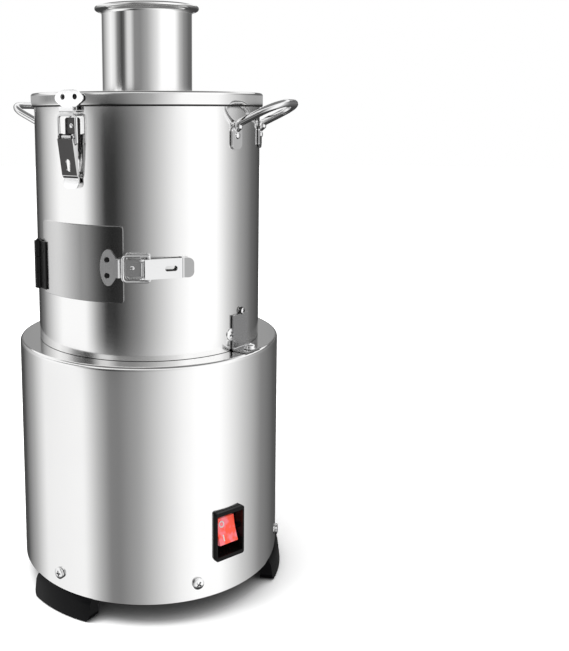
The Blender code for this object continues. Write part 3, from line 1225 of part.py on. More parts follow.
def make_lever(name, frame, across, carrier):
    """A channel open towards the wall, with a flat finger tip. Its free end points along -Y."""
    half_wall = LEVER_WALL / 2
    web_out = LEVER_WEB_OUT - half_wall
    end_out = LEVER_CHANNEL_END_OUT - half_wall
    step = LEVER_CHANNEL + LEVER_STEP
    path = [(-LEVER_WEB_START, web_out), (-LEVER_CHANNEL, end_out)]
    web = side_sheet([ribbon(path, LEVER_WALL)], LEVER_WIDTH)
    lever = piece(name, web, BRIGHT_STEEL, frame, carrier)
    tip_path = [(-LEVER_CHANNEL + LEVER_STEP, end_out), (-LEVER_CHANNEL, end_out)]
    tip_out = end_out - LEVER_STEP_IN
    tip_path += [(-step, tip_out), (-LEVER_LENGTH, tip_out + LEVER_TIP_LIFT)]
    tongue = cutter(f"{name}_tip", side_sheet([ribbon(tip_path, LEVER_WALL)], LEVER_WIDTH), frame)
    x = LEVER_TIP_WIDTH / 2
    limits = [(-x, -LEVER_LENGTH), (x, -LEVER_LENGTH), (x, 0), (-x, 0)]
    shape = flat(rounded(limits, [LEVER_TIP_CORNER, LEVER_TIP_CORNER, 0, 0]))
    keep_within(tongue, cutter(f"{name}_tip_outline", sheet([shape], -LEVER_WIDTH, LEVER_WIDTH), frame))
    join(lever, tongue)
    nose = [(LEVER_NOSE, LEVER_WEB_OUT - half_wall), (-LEVER_CHANNEL, end_out)]
    nose += [(-LEVER_CHANNEL, end_out - LEVER_FLANGE_END), (-LEVER_FLANGE_BELLY, -LEVER_FLANGE_DEEP)]
    nose += [(-BAIL_PIVOT_BACK / 2, -LEVER_FLANGE_DEEP), (LEVER_NOSE, -LEVER_FLANGE_NOSE)]
    outline = flat(rounded(nose, [LEVER_CORNER, 0, 0, 0, 0, LEVER_CORNER]))
    for index, side in enumerate((-1, 1)):
        place = side * (LEVER_WIDTH / 2 - half_wall - PIN_GAP / 2)
        mesh = side_sheet([outline], LEVER_WALL)
        join(lever, cutter(f"{name}_flange_{index + 1}", mesh, frame @ Matrix.Translation((place, 0, 0))))
    bore = rod(LATCH_PIN + SEAT_GAP, -LEVER_WIDTH, LEVER_WIDTH, TINY_STEPS)
    cut(lever, cutter(f"{name}_pin_bore", bore, frame @ across))
    bore = rod(BAIL_WIRE + SEAT_GAP, -LEVER_WIDTH, LEVER_WIDTH, TINY_STEPS)
    place = Matrix.Translation((0, -BAIL_PIVOT_BACK, -BAIL_PIVOT_IN))
    cut(lever, cutter(f"{name}_bail_bore", bore, frame @ place @ across))
    outline = rectangle(LEVER_SLOT_WIDTH, LEVER_SLOT_LENGTH, LEVER_SLOT_WIDTH / 2)
    slot = sheet([outline], -LEVER_WIDTH, LEVER_WIDTH)
    cut(lever, cutter(f"{name}_slot", slot, frame @ Matrix.Translation((0, -LEVER_SLOT_PLACE, 0))))


def make_bail(name, length, frame, carrier):
    """A square loop of wire that pivots in the lever's flanges by its two turned-in ends."""
    x = BAIL_HALF_WIDTH
    corners = [(BAIL_END, 0), (x, 0), (x, length), (-x, length), (-x, 0), (-BAIL_END, 0)]
    radii = [0, BAIL_END_CORNER, BAIL_CORNER, BAIL_CORNER, BAIL_END_CORNER, 0]
    path = rounded(corners, radii, closed=False)
    piece(name, wire(path, BAIL_WIRE, 1), BRIGHT_STEEL, frame, carrier)


holes = screw_hole_cutters()
make_base_shell(holes)
make_bottom_plate(holes)
make_feet()
make_base_screws()
make_switch()
make_cord_gland()
make_motor()
make_capacitor()
make_rotor()
make_barrel()
make_brackets()
make_handles()
make_lid()
make_door()
make_lid_latches()
make_door_latch()
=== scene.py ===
# %% [markdown]
# # A garlic peeling machine in polished steel
# The machine is a wide steel base with a motor in it, a narrower peeling barrel on top, a shallow lid with a
# feed tube, and a handful of bought fittings: toggle latches, a hinge, wire handles, feet and a lit rocker
# switch. A imported solid model gives the true sizes and the joints. This lesson dresses that model: it makes
# a finer skin for every piece that shows, gives each one its finish, and lights the whole for a photograph.
#
# First comes the frame, which is the imported model.

import json
import math

import bmesh
import bpy
from mathutils import Matrix, Vector

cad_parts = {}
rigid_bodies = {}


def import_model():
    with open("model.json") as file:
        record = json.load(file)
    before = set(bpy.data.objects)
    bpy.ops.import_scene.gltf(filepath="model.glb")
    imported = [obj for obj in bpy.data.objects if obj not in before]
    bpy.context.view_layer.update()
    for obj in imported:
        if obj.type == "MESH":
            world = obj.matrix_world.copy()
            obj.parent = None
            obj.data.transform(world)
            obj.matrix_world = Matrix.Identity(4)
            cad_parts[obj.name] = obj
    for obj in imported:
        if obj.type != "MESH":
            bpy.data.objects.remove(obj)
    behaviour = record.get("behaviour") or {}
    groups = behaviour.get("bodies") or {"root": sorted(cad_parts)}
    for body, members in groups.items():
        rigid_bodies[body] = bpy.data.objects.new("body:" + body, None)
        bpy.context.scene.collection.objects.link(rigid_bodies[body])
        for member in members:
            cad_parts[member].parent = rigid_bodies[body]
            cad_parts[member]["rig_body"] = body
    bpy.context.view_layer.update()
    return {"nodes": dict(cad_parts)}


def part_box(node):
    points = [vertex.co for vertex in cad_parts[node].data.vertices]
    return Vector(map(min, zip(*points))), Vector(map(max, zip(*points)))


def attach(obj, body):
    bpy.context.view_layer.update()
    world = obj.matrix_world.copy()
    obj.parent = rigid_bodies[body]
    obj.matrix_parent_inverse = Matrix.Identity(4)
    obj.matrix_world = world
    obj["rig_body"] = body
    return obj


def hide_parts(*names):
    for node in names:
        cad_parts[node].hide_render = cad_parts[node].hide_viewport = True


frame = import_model()
solids = frame["nodes"]


def short(point):
    """A point's numbers, rounded for printing."""
    return [round(number, 4) for number in point]


# %% [markdown]
# The camera stands a little below the lid's top, in front and to the right, and looks slightly down. Its lens
# and place were found by matching edges of the machine. A small shift keeps the machine to the left of the
# middle, as it is in the photograph, and still leaves it inside the view from other sides. The azimuth of the
# view, from the front towards the right, is noted too, because the reflections are set by it.

# %% Camera
VIEW_AZIMUTH = 36.6
camera_data = bpy.data.cameras.new("Camera")
camera_data.lens = 46.49
camera_data.sensor_width = 36
camera_data.shift_x = 0.14
camera_data.shift_y = -0.15
camera = bpy.data.objects.new("Camera", camera_data)
camera.location = (0.4282, -0.5694, 0.3899)
camera.rotation_euler = [math.radians(angle) for angle in (82.417, 0.133, 33.868)]
bpy.context.scene.collection.objects.link(camera)
bpy.context.scene.camera = camera
print("Camera", round(camera.location.length, 3), "m from the machine's foot")

# %% [markdown]
# ## Making materials
# Each finish is a small graph of nodes. Helpers keep the graphs short: one fills a node's sockets, with
# numbers or with what comes out of another node, and another adds a node and fills it at once.


# %% Node helpers
def put(tree, socket, value):
    """Writes a number or a colour in a socket, or joins another node's output to it."""
    if isinstance(value, bpy.types.NodeSocket):
        tree.links.new(value, socket)
    else:
        socket.default_value = value


def fill(tree, node, *values, **settings):
    """Fills sockets in their order, or by name. A name that is no socket is a setting of the node."""
    pairs = list(zip(node.inputs, values))
    for name, value in settings.items():
        socket = node.inputs.get(name.replace("_", " "))
        if socket is None:
            setattr(node, name, value)
        else:
            pairs.append((socket, value))
    for socket, value in pairs:
        put(tree, socket, value)
    return node


def add(tree, kind, *values, **settings):
    return fill(tree, tree.nodes.new(kind), *values, **settings)


def maths(tree, operation, *values):
    return add(tree, "ShaderNodeMath", *values, operation=operation).outputs[0]


# %% [markdown]
# What changes over a surface comes from noise in the piece's own coordinates, so it stays with the piece
# when a joint moves. A noise is then spread between two numbers, or it mixes two colours. What is the same
# everywhere is a number on the shader itself.


# %% Noise, numbers and colours
def spread(tree, value, low, high, start=0.3, end=0.7):
    """Turns a value between start and end into a number between low and high."""
    return add(tree, "ShaderNodeMapRange", value, start, end, low, high).outputs["Result"]


def noise(tree, place, scale, detail=3, stretch=(1, 1, 1)):
    """A noise in the piece's own coordinates, stretched along an axis where its number is small."""
    mapped = add(tree, "ShaderNodeMapping", Vector=place, Scale=stretch).outputs[0]
    return add(tree, "ShaderNodeTexNoise", Vector=mapped, Scale=scale, Detail=detail).outputs["Fac"]


def blend_colours(tree, share, first, second):
    """Mixes two colours by a share. Each is an output, or a plain (red, green, blue)."""
    made = add(tree, "ShaderNodeMix", data_type="RGBA")
    put(tree, made.inputs[0], share)
    for socket, colour in zip(made.inputs[6:8], (first, second)):
        put(tree, socket, (*colour, 1) if isinstance(colour, tuple) else colour)
    return made.outputs[2]


def uneven(tree, height, strength):
    """The surface's direction, tilted by a noise as if it were 0.2 mm high."""
    return add(tree, "ShaderNodeBump", Strength=strength, Distance=0.0002, Height=height).outputs[0]


def new_finish(name, slot):
    """A material, its tree, its shader and the place of a point in the piece's own coordinates."""
    made = bpy.data.materials.new(name)
    made.use_nodes = True
    made["slot"] = slot
    tree = made.node_tree
    place = add(tree, "ShaderNodeTexCoord").outputs["Object"]
    return made, tree, tree.nodes["Principled BSDF"], place


# %% [markdown]
# ## Steel
# Sheet steel that is rolled into a drum is ground along the sheet and then buffed. What remains is a faint
# grain round the drum, almost too fine to see, that widens the highlights, and soft smudges from handling.
# Noise that is squeezed in height makes the grain. It moves the roughness a little and tilts the surface by
# less than a hair. The large smudges touch the roughness and, very little, the colour.


# %% Steel finishes
def steel(name, slot, colours, roughness, grain=0.02):
    """Metal with two colours and two roughnesses, which noises mix."""
    made, tree, shader, place = new_finish(name, slot)
    lines = noise(tree, place, 9, 4, (6, 6, 900))
    smudges = noise(tree, place, 22, 4)
    smooth, rough = (value / 2 for value in roughness)
    halves = [spread(tree, value, smooth, rough) for value in (lines, smudges)]
    fill(
        tree, shader, Metallic=1, Base_Color=blend_colours(tree, smudges, *colours),
        Roughness=maths(tree, "ADD", *halves), Normal=uneven(tree, lines, grain),
    )
    return made


BUFFED = (0.95, 0.948, 0.945), (0.93, 0.928, 0.925)
BRUSHED = (0.94, 0.938, 0.935), (0.90, 0.898, 0.896)
PLATED = (0.93, 0.93, 0.93), (0.88, 0.88, 0.885)
# Painted shade: a grey copy of the plated colour, for fittings and faces that are in shade.
SHADE_GREYS = (0.54, 0.54, 0.54), (0.48, 0.48, 0.485)
# Painted shade: a near-black steel colour for recesses, the lid's shade line and dark reflections.
SHADE_NEAR_BLACK = (0.09, 0.088, 0.088), (0.06, 0.059, 0.059)
MILLED = (0.62, 0.62, 0.63), (0.52, 0.52, 0.54)
GROUND = (0.62, 0.62, 0.63), (0.55, 0.55, 0.57)
POLISHED = steel("polished_drum", "drum_steel", BUFFED, (0.09, 0.15), 0.003)
LID_POLISHED = steel("polished_lid", "drum_steel", BUFFED, (0.05, 0.08), 0.003)
DOOR_SATIN = steel("satin_door", "door_steel", BRUSHED, (0.17, 0.23), 0.02)
CHROME = steel("bright_fitting", "bright_steel", PLATED, (0.06, 0.13), 0.01)
SATIN_FITTING = steel("satin_fitting", "bright_steel", PLATED, (0.30, 0.38), 0.01)
# The next two finishes are painted shade: darker copies of the plated steel.
SHADE_GREY_FITTING = steel("painted_shade_grey", "bright_steel", SHADE_GREYS, (0.22, 0.30), 0.01)
PAINTED_SHADE = steel("painted_shade_steel", "bright_steel", SHADE_NEAR_BLACK, (0.16, 0.24), 0.01)
SHEET = steel("plain_sheet", "plate_steel", MILLED, (0.26, 0.40), 0.08)
BEARING = steel("ground_bearing", "bearing_steel", GROUND, (0.14, 0.24), 0.03)
print("Steel finishes:", [made.name for made in bpy.data.materials if "slot" in made])

# %% [markdown]
# The door turns a darker part of the room towards the camera than the barrel beside it does, and it is
# darkest at its latch. A gentle fall in its colour, from the hinge side to the latch side, gives that shade
# in one step, where a second set of reflections would have been needed.


# %% A door that is darker at its latch
def axes(tree, kind="Object"):
    """The X, Y and Z of a point, as three outputs."""
    return add(tree, "ShaderNodeSeparateXYZ", add(tree, "ShaderNodeTexCoord").outputs[kind]).outputs


def darker_to_the_right(made, start, end, share):
    """Multiplies a finish's colour by less and less, from one X to another."""
    tree = made.node_tree
    shader = tree.nodes["Principled BSDF"]
    colour = shader.inputs["Base Color"].links[0].from_socket
    level = spread(tree, axes(tree)["X"], 1, share, start, end)
    darkened = add(tree, "ShaderNodeVectorMath", colour, operation="SCALE", Scale=level)
    fill(tree, shader, Base_Color=darkened.outputs[0])


LATCH_SIDE_SHARE = 0.31
darker_to_the_right(DOOR_SATIN, -0.032, 0.006, LATCH_SIDE_SHARE)
print("At its latch the door keeps", LATCH_SIDE_SHARE, "of its colour")

# %% [markdown]
# ## Cast iron, plastic and silicone
# The motor's castings are coarse and dull. Moulded plastic has a fine pebble where the mould was etched, and
# none where it was polished, as on the feet. Black plastic in front of a white room looks grey if it mirrors
# as much as most plastics do, so the black ones mirror less. Silicone is soft and milky, so a little light
# travels inside it.


# %% Other finishes
def moulded(name, slot, colours, roughness, pebble, scale=900, metallic=0, gloss=0.5):
    """Plastic, rubber or a casting. The pebble is how deep its grain is, and the scale how fine."""
    made, tree, shader, place = new_finish(name, slot)
    grain = noise(tree, place, scale)
    wear = noise(tree, place, 30, 4)
    fill(
        tree, shader, Metallic=metallic, Specular_IOR_Level=gloss,
        Base_Color=blend_colours(tree, wear, *colours), Roughness=spread(tree, wear, *roughness),
        Normal=uneven(tree, grain, pebble),
    )
    return made


FOOT_BLACK = (0.0045, 0.0045, 0.005), (0.003, 0.003, 0.0035)
FRAME_BLACK = (0.006, 0.006, 0.006), (0.004, 0.004, 0.004)
HINGE_BLACK = (0.012, 0.012, 0.012), (0.008, 0.008, 0.008)
NYLON_BLACK = (0.024, 0.024, 0.025), (0.016, 0.016, 0.017)
NYLON_GREY = (0.06, 0.06, 0.065), (0.04, 0.04, 0.044)
TIN = (0.80, 0.81, 0.82), (0.70, 0.71, 0.72)
CASTING = (0.20, 0.205, 0.21), (0.11, 0.112, 0.12)
MILKY = (0.80, 0.79, 0.76), (0.72, 0.71, 0.67)
FOOT = moulded("glossy_foot", "foot_plastic", FOOT_BLACK, (0.10, 0.17), 0.01, gloss=0.1)
BEZEL = moulded("switch_frame", "switch_plastic", FRAME_BLACK, (0.16, 0.24), 0.1, gloss=0.12)
BLACK = moulded("black_hinge", "hinge_black", HINGE_BLACK, (0.28, 0.4), 0.15, gloss=0.15)
GLAND = moulded("gland_nylon", "gland_plastic", NYLON_BLACK, (0.38, 0.5), 0.2)
FAN = moulded("fan_nylon", "fan_plastic", NYLON_GREY, (0.42, 0.55), 0.2)
CAN = moulded("capacitor_can", "capacitor_shell", TIN, (0.3, 0.45), 0.05, 60, 0.6)
IRON = moulded("cast_iron", "motor_iron", CASTING, (0.5, 0.68), 0.6, 420, 0.7)
RUBBER = moulded("silicone_rubber", "silicone", MILKY, (0.42, 0.58), 0.08)
fill(
    RUBBER.node_tree, RUBBER.node_tree.nodes["Principled BSDF"],
    Subsurface_Weight=0.2, Subsurface_Radius=(0.004, 0.003, 0.002),
)
others = (FOOT, BEZEL, BLACK, GLAND, FAN, CAN, IRON, RUBBER)
print("Plastic and other finishes:", [made.name for made in others])

# %% [markdown]
# The rocker is clear red plastic with a small lamp behind it. The lamp makes its middle glow orange while
# the ends stay pink, so the glow's colour runs with a noise, and its strength is one number. The two signs
# are printed in white.


# %% Lit rocker and its signs
def lit_plastic(name, slot, glow):
    made, tree, shader, place = new_finish(name, slot)
    cloud = noise(tree, place, 150, 2)
    warm = spread(tree, cloud, 0, 1, 0.42, 0.58)
    fill(
        tree, shader, Emission_Strength=glow, Roughness=spread(tree, cloud, 0.10, 0.18),
        Base_Color=blend_colours(tree, warm, (0.90, 0.12, 0.15), (0.92, 0.08, 0.04)),
        Emission_Color=blend_colours(tree, warm, (1.0, 0.32, 0.36), (1.0, 0.08, 0.03)),
    )
    return made


ROCKER = lit_plastic("lit_rocker", "rocker_red", 0.35)
WHITE_INK = (0.90, 0.88, 0.86), (0.84, 0.82, 0.80)
PRINT = moulded("white_print", "rocker_red", WHITE_INK, (0.35, 0.45), 0.02)
print("Switch finishes:", ROCKER.name, PRINT.name)

# %% [markdown]
# ## Shapes
# Nearly every piece of the machine is made in one of four ways: a profile spun round an axis, a flat outline
# with a thickness, a bent strip, or a round wire. All start from a drawing, which is a list of points. An arc
# is the simplest one, and `rounded` turns the sharp corners of a drawing into arcs.


# %% Arcs and rounded corners
def arc(centre, radius, start, end, steps=8):
    """Points on an arc, from one angle in degrees to another."""
    points = []
    for step in range(steps + 1):
        angle = math.radians(start + (end - start) * step / steps)
        points.append((centre[0] + radius * math.cos(angle), centre[1] + radius * math.sin(angle)))
    return points


def rounded(points, radii, closed=True, steps=8):
    """Replaces each corner of a path by an arc."""
    corners = [Vector((*point, 0)[:3]) for point in points]
    if not isinstance(radii, (list, tuple)):
        radii = [radii] * len(corners)
    path = []
    for index, corner in enumerate(corners):
        at_end = index in (0, len(corners) - 1)
        if radii[index] <= 0 or (at_end and not closed):
            path.append(corner)
            continue
        before = corners[index - 1] - corner
        after = corners[(index + 1) % len(corners)] - corner
        half = before.angle(after) / 2
        reach = min(radii[index] / math.tan(half), min(before.length, after.length) / 2)
        before.normalize()
        after.normalize()
        centre = corner + (before + after).normalized() * reach / math.cos(half)
        first = corner + before * reach - centre
        last = corner + after * reach - centre
        turn = first.angle(last)
        for step in range(steps + 1):
            there = turn * step / steps
            between = first * math.sin(turn - there) + last * math.sin(there)
            path.append(centre + between / math.sin(turn))
    return [tuple(point) for point in path]


# %% [markdown]
# Some outlines come back often: rectangles, circles, and a ribbon, which is what a bent strip looks like from
# its side. Their facets are small enough not to show.


# %% Outlines
def flat(points):
    """Points without their third number."""
    return [(point[0], point[1]) for point in points]


def rectangle(width, height, corner=0, steps=8):
    x, y = width / 2, height / 2
    outline = [(-x, -y), (x, -y), (x, y), (-x, y)]
    return flat(rounded(outline, corner, steps=steps)) if corner else outline


def circle(radius, centre=(0, 0), steps=32):
    return arc(centre, radius, 0, 360 - 360 / steps, steps - 1)


def ribbon(path, thickness):
    """The outline of a bent strip that has this path along its middle."""
    left, right = [], []
    for index, (x, y) in enumerate(path):
        before = path[max(index - 1, 0)]
        after = path[min(index + 1, len(path) - 1)]
        along = Vector((after[0] - before[0], after[1] - before[1])).normalized() * thickness / 2
        left.append((x - along.y, y + along.x))
        right.append((x + along.y, y - along.x))
    return left + right[::-1]


# %% [markdown]
# A mesh is put in its place by a matrix. Moves and turns come back all the time, so they get short names.


# %% Move and turn
def move(x, y, z):
    return Matrix.Translation((x, y, z))


def rotate(axis, degrees):
    return Matrix.Rotation(math.radians(degrees), 4, axis)


# %% [markdown]
# A mesh is made on a passing object, evaluated, cleaned and shaded smooth, except along edges that turn by
# more than 30 degrees.


# %% From a passing object to a clean mesh
def tidy(mesh, weld=0.000001):
    """Joins the points that coincide and marks the sharp edges."""
    shape = bmesh.new()
    shape.from_mesh(mesh)
    bmesh.ops.remove_doubles(shape, verts=shape.verts, dist=weld)
    bmesh.ops.dissolve_degenerate(shape, dist=weld, edges=shape.edges)
    bmesh.ops.recalc_face_normals(shape, faces=shape.faces)
    shape.to_mesh(mesh)
    shape.free()
    mesh.shade_smooth()
    mesh.set_sharp_from_angle(angle=math.radians(30))
    return mesh


def holder(data):
    """An object for a mesh or a curve that is still being worked on."""
    made = bpy.data.objects.new("holder", data)
    bpy.context.scene.collection.objects.link(made)
    return made


def evaluated(made):
    """The mesh that an object's modifiers or curve make. The object itself goes."""
    bpy.context.view_layer.update()
    graph = bpy.context.evaluated_depsgraph_get()
    mesh = bpy.data.meshes.new_from_object(made.evaluated_get(graph))
    bpy.data.objects.remove(made)
    return tidy(mesh)


# %% [markdown]
# Drums, tubes, screw heads and pins are round: half a cut through them is drawn, and spun round the axis. The
# rings that this gives are even, which keeps reflections smooth.


# %% Spun shapes
def turned(profile, steps=32):
    """A profile of (radius, height) points, spun round Z."""
    on_axis = profile[0][0] == 0 and profile[-1][0] == 0
    edges = [(index, index + 1) for index in range(len(profile) - 1)]
    if not on_axis:
        edges.append((len(profile) - 1, 0))
    mesh = bpy.data.meshes.new("turned")
    mesh.from_pydata([(radius, 0, height) for radius, height in profile], edges, [])
    made = holder(mesh)
    spin = made.modifiers.new("Spin", "SCREW")
    spin.steps = spin.render_steps = steps
    spin.use_merge_vertices = True
    spin.merge_threshold = 0.000001
    return evaluated(made)


def rod(radius, low, high, steps=32):
    return turned([(0, high), (radius, high), (radius, low), (0, low)], steps)


# %% [markdown]
# A plate is a filled curve with a thickness. A bent part is easier to draw from its side, so a second helper
# takes such a drawing and gives it a width.


# %% Sheets
def sheet(loops, low, high):
    """Flat outlines filled, with a thickness from low to high along Z. An inner loop is a hole."""
    curve = bpy.data.curves.new("outline", "CURVE")
    curve.dimensions = "2D"
    curve.fill_mode = "BOTH"
    curve.extrude = (high - low) / 2
    for loop in loops:
        spline = curve.splines.new("POLY")
        spline.points.add(len(loop) - 1)
        spline.use_cyclic_u = True
        for point, (x, y) in zip(spline.points, loop):
            point.co = (x, y, 0, 1)
    mesh = evaluated(holder(curve))
    mesh.transform(move(0, 0, (low + high) / 2))
    return mesh


SIDE_VIEW = Matrix(((0, 0, 1, 0), (1, 0, 0, 0), (0, 1, 0, 0), (0, 0, 0, 1)))


def side_sheet(loops, width):
    """Outlines drawn in a side view, as (Y, Z), with a width along X about the middle."""
    mesh = sheet(loops, -width / 2, width / 2)
    mesh.transform(SIDE_VIEW)
    return mesh


# %% [markdown]
# A wire is a curve with a round section. Where a real wire is hammered flat its section gets thin, so every
# point may have its own share of the radius.


# %% Wires
def wire(path, radius, resolution=5, shares=None):
    """A round wire along a path, with closed ends. The shares thin it at its points."""
    curve = bpy.data.curves.new("wire", "CURVE")
    curve.dimensions = "3D"
    curve.bevel_depth = radius
    curve.bevel_resolution = resolution
    curve.use_fill_caps = True
    spline = curve.splines.new("POLY")
    spline.points.add(len(path) - 1)
    for index, place in enumerate(path):
        spline.points[index].co = (*place, 1)
        spline.points[index].radius = shares[index] if shares else 1
    return evaluated(holder(curve))


# %% [markdown]
# Holes are cut and joints are fused with exact booleans. The last touch is a tiny round on the sharp edges:
# sheet metal without it looks like paper, because nothing catches the light.


# %% Cut, fuse and soften
def worked(mesh, operation, *tools):
    """Cuts the tools out of a mesh, or fuses them to it. A tool is a mesh, or a mesh and its place."""
    made = holder(mesh)
    helpers = []
    for tool in tools:
        shape, place = tool if isinstance(tool, tuple) else (tool, Matrix())
        helper = holder(shape)
        helper.matrix_world = place
        helpers.append(helper)
        change = made.modifiers.new("work", "BOOLEAN")
        change.operation = operation
        change.solver = "EXACT"
        change.object = helper
    result = evaluated(made)
    for helper in helpers:
        bpy.data.objects.remove(helper)
    return result


def cut(mesh, *tools):
    return worked(mesh, "DIFFERENCE", *tools)


def fused(mesh, *tools):
    return worked(mesh, "UNION", *tools)


def softened(mesh, width, segments=2, angle=35):
    """A small round on every edge that turns by more than the angle."""
    shape = bmesh.new()
    shape.from_mesh(mesh)
    bmesh.ops.dissolve_limit(
        shape, angle_limit=math.radians(1), verts=shape.verts, edges=shape.edges, delimit={"NORMAL"}
    )
    sharp = [edge for edge in shape.edges if edge.calc_face_angle(0) > math.radians(angle)]
    bmesh.ops.bevel(
        shape, geom=sharp, offset=width, offset_type="OFFSET", segments=segments, profile=0.5,
        affect="EDGES", clamp_overlap=True,
    )
    shape.to_mesh(mesh)
    shape.free()
    return tidy(mesh)


# %% [markdown]
# Pieces stand on round walls, so most of them are drawn in a frame that touches the wall: X runs right along
# it, Y up it and Z straight out. An azimuth is measured from the front towards the right hand side. When a
# piece is in place, it takes over from its solid, rides on the same body and notes its finish.


# %% Placing helpers
def wall_frame(azimuth, height, radius, turn=0):
    """A frame on a round wall. The turn is about Z, which points out of the wall."""
    angle = math.radians(azimuth)
    right = Vector((math.cos(angle), math.sin(angle), 0))
    up = Vector((0, 0, 1))
    out = right.cross(up)
    made = Matrix((right, up, out)).transposed().to_4x4()
    made.translation = out * radius + up * height
    return made @ rotate("Z", turn)


def place_piece(name, mesh, finish, body, place=Matrix(), stands_for=()):
    """A finished piece in its place, riding on a body."""
    mesh.materials.clear()
    mesh.materials.append(finish)
    mesh.transform(place)
    made = bpy.data.objects.new(name, mesh)
    bpy.context.scene.collection.objects.link(made)
    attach(made, body)
    for node in stands_for:
        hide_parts(node)
    flat_faces = made.modifiers.new("Flat faces stay flat", "WEIGHTED_NORMAL")
    flat_faces.keep_sharp = True
    return made


def darken(made, second, faces):
    """Gives some faces of a piece a second finish."""
    if faces:
        made.data.materials.append(second)
    for index in faces:
        made.data.polygons[index].material_index = 1


def dress(node, mesh, finish, place=Matrix(), second=None, second_faces=()):
    """A finer piece in the place of one solid. Some of its faces may have a second finish."""
    made = place_piece(f"{node}_skin", mesh, finish, solids[node]["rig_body"], place, [node])
    darken(made, second, second_faces)
    print(f"{made.name}: {len(mesh.polygons)} faces")
    return made


# %% [markdown]
# ## The base
# The base is one deep drawn drum, open below, with a round upper edge. Drawing leaves no seam, so a spun
# profile is the right way. First come the sizes that many pieces share, all in metres. FINE is the number of
# facets round a drum.

# %% Sizes of the two drums
GAP = 0.0003
BASE_RADIUS = 0.110
SHELL_LOW, SHELL_HIGH = 0.0180, 0.2055
BARREL_RADIUS = 0.0936
BARREL_LOW, BARREL_HIGH = 0.2058, 0.4044
FINE = 160
print("The barrel is", round(BARREL_RADIUS / BASE_RADIUS, 2), "of the base's width")

# %% [markdown]
# Rings of points lie just above and below the holes, so that cutting them leaves the rest of the wall
# untouched and its reflections straight. A ring close beside each end of the round edge does the same there.


# %% Base drum
def base_profile():
    edge, wall, bore, beside = 0.0026, 0.0012, 0.020, 0.0008
    corner = (BASE_RADIUS - edge, SHELL_HIGH - edge)
    inside = BASE_RADIUS - wall
    rings = (SHELL_HIGH - edge - beside, 0.0877, 0.0437, 0.0262)
    profile = [(bore, SHELL_HIGH), (corner[0] - beside, SHELL_HIGH)] + arc(corner, edge, 90, 0, 10)
    profile += [(BASE_RADIUS, height) for height in (*rings, SHELL_LOW)]
    profile += [(inside, height) for height in (SHELL_LOW, *rings[::-1])]
    return profile + arc(corner, edge - wall, 0, 90, 6) + [(bore, SHELL_HIGH - wall)]


SWITCH_PLACE = wall_frame(70.1, SHELL_LOW + 0.0477, BASE_RADIUS)
GLAND_PLACE = wall_frame(180, SHELL_LOW + 0.034, BASE_RADIUS)
switch_hole = sheet([rectangle(0.0262, 0.0351)], -0.02, 0.01)
gland_hole = rod(0.0081, -0.01, 0.01)
base = cut(turned(base_profile(), FINE), (switch_hole, SWITCH_PLACE), (gland_hole, GLAND_PLACE))
dress("base_shell", base, POLISHED)

# %% [markdown]
# The base stands on three moulded feet, arc blocks that bulge a little past the drum. Each is a spun ring
# cut back to a rounded outline, seen from in front of the foot. Their polished faces show long highlights,
# so their edges get a wide round.


# %% Feet
FOOT_AZIMUTH, FOOT_HALF = -4.4, 0.031


def foot_profile():
    inside = BASE_RADIUS - 0.030
    bulge = BASE_RADIUS + 0.0044
    return [
        (inside, 0.0177), (BASE_RADIUS + 0.0008, 0.0177), (BASE_RADIUS + 0.0028, 0.0142),
        (bulge, 0.0010), (bulge - 0.0010, 0), (inside, 0),
    ]


foot_ring = turned(foot_profile(), FINE)
foot_front = [(-FOOT_HALF, 0), (FOOT_HALF, 0), (FOOT_HALF, 0.03), (-FOOT_HALF, 0.03)]
foot_front = flat(rounded(foot_front, [0.0055, 0.0055, 0, 0]))
for index in range(3):
    place = wall_frame(FOOT_AZIMUTH + 120 * index, 0, BASE_RADIUS)
    foot = worked(foot_ring.copy(), "INTERSECT", (sheet([foot_front], -0.011, 0.011), place))
    dress(f"foot_{index + 1}", softened(foot, 0.0024, 5), FOOT)

# %% [markdown]
# Six pan head screws with a cross recess hold the bottom plate. A head is spun from a domed profile. The
# recess is two crossed wedges cut from it. The same screw, in other sizes, comes back on the brackets.


# %% Pan head screws
def pan_head(radius, height, dome=0.35, slot=0.62, shank=0.002, length=0.006):
    """A screw. The dome is a share of its height, and the slot a share of its radius."""
    rim = height * (1 - dome)
    top = [(0, height)]
    for step in range(1, 9):
        angle = math.radians(90 * step / 8)
        top.append((radius * math.sin(angle), rim + (height - rim) * math.cos(angle)))
    below = [(radius, 0.0002), (radius - 0.0002, 0), (shank, 0), (shank, -length), (0, -length)]
    low, high, narrow, wide = height * 0.35, height * 1.2, radius * 0.2, radius * slot
    cross = side_sheet([[(-wide, high), (wide, high), (narrow, low), (-narrow, low)]], radius * 0.26)
    return cut(turned(top + below, 40), cross, (cross.copy(), rotate("Z", 90)))


def recess_faces(mesh, low, place=Matrix()):
    """The faces of a cross recess, which get painted shade because hardly any light gets in."""
    found = []
    back = place.inverted()
    for face in mesh.polygons:
        middle = back @ face.center
        out = (back.to_3x3() @ face.normal).z
        if middle.z > low and math.hypot(middle.x, middle.y) < 0.0032 and out < 0.8:
            found.append(face.index)
    return found


# %% [markdown]
# Nobody lines up the slots of screws, so each one is turned by another angle.

# %% Base screws
SCREW_AZIMUTH, SCREW_RISE = -4.3, 0.0132
for index, turn in enumerate((12, 50, 78, 21, 64, 35)):
    place = wall_frame(SCREW_AZIMUTH + 60 * index, SHELL_LOW + SCREW_RISE, BASE_RADIUS + GAP, turn)
    screw = pan_head(0.0045, 0.0022)
    # The recess faces get painted shade in near black.
    dress(f"base_screw_{index + 1}", screw, CHROME, place, PAINTED_SHADE, recess_faces(screw, 0.0004))

# %% [markdown]
# ## The switch
# A snap-in switch has a thin black frame whose rim is raised at its top and bottom, and a deep well in which
# the rocker tilts. Its back follows the drum, so the frame is cut with the drum's own curve. The well goes
# almost to the sides, which leaves the narrow upright rims that the photograph shows.

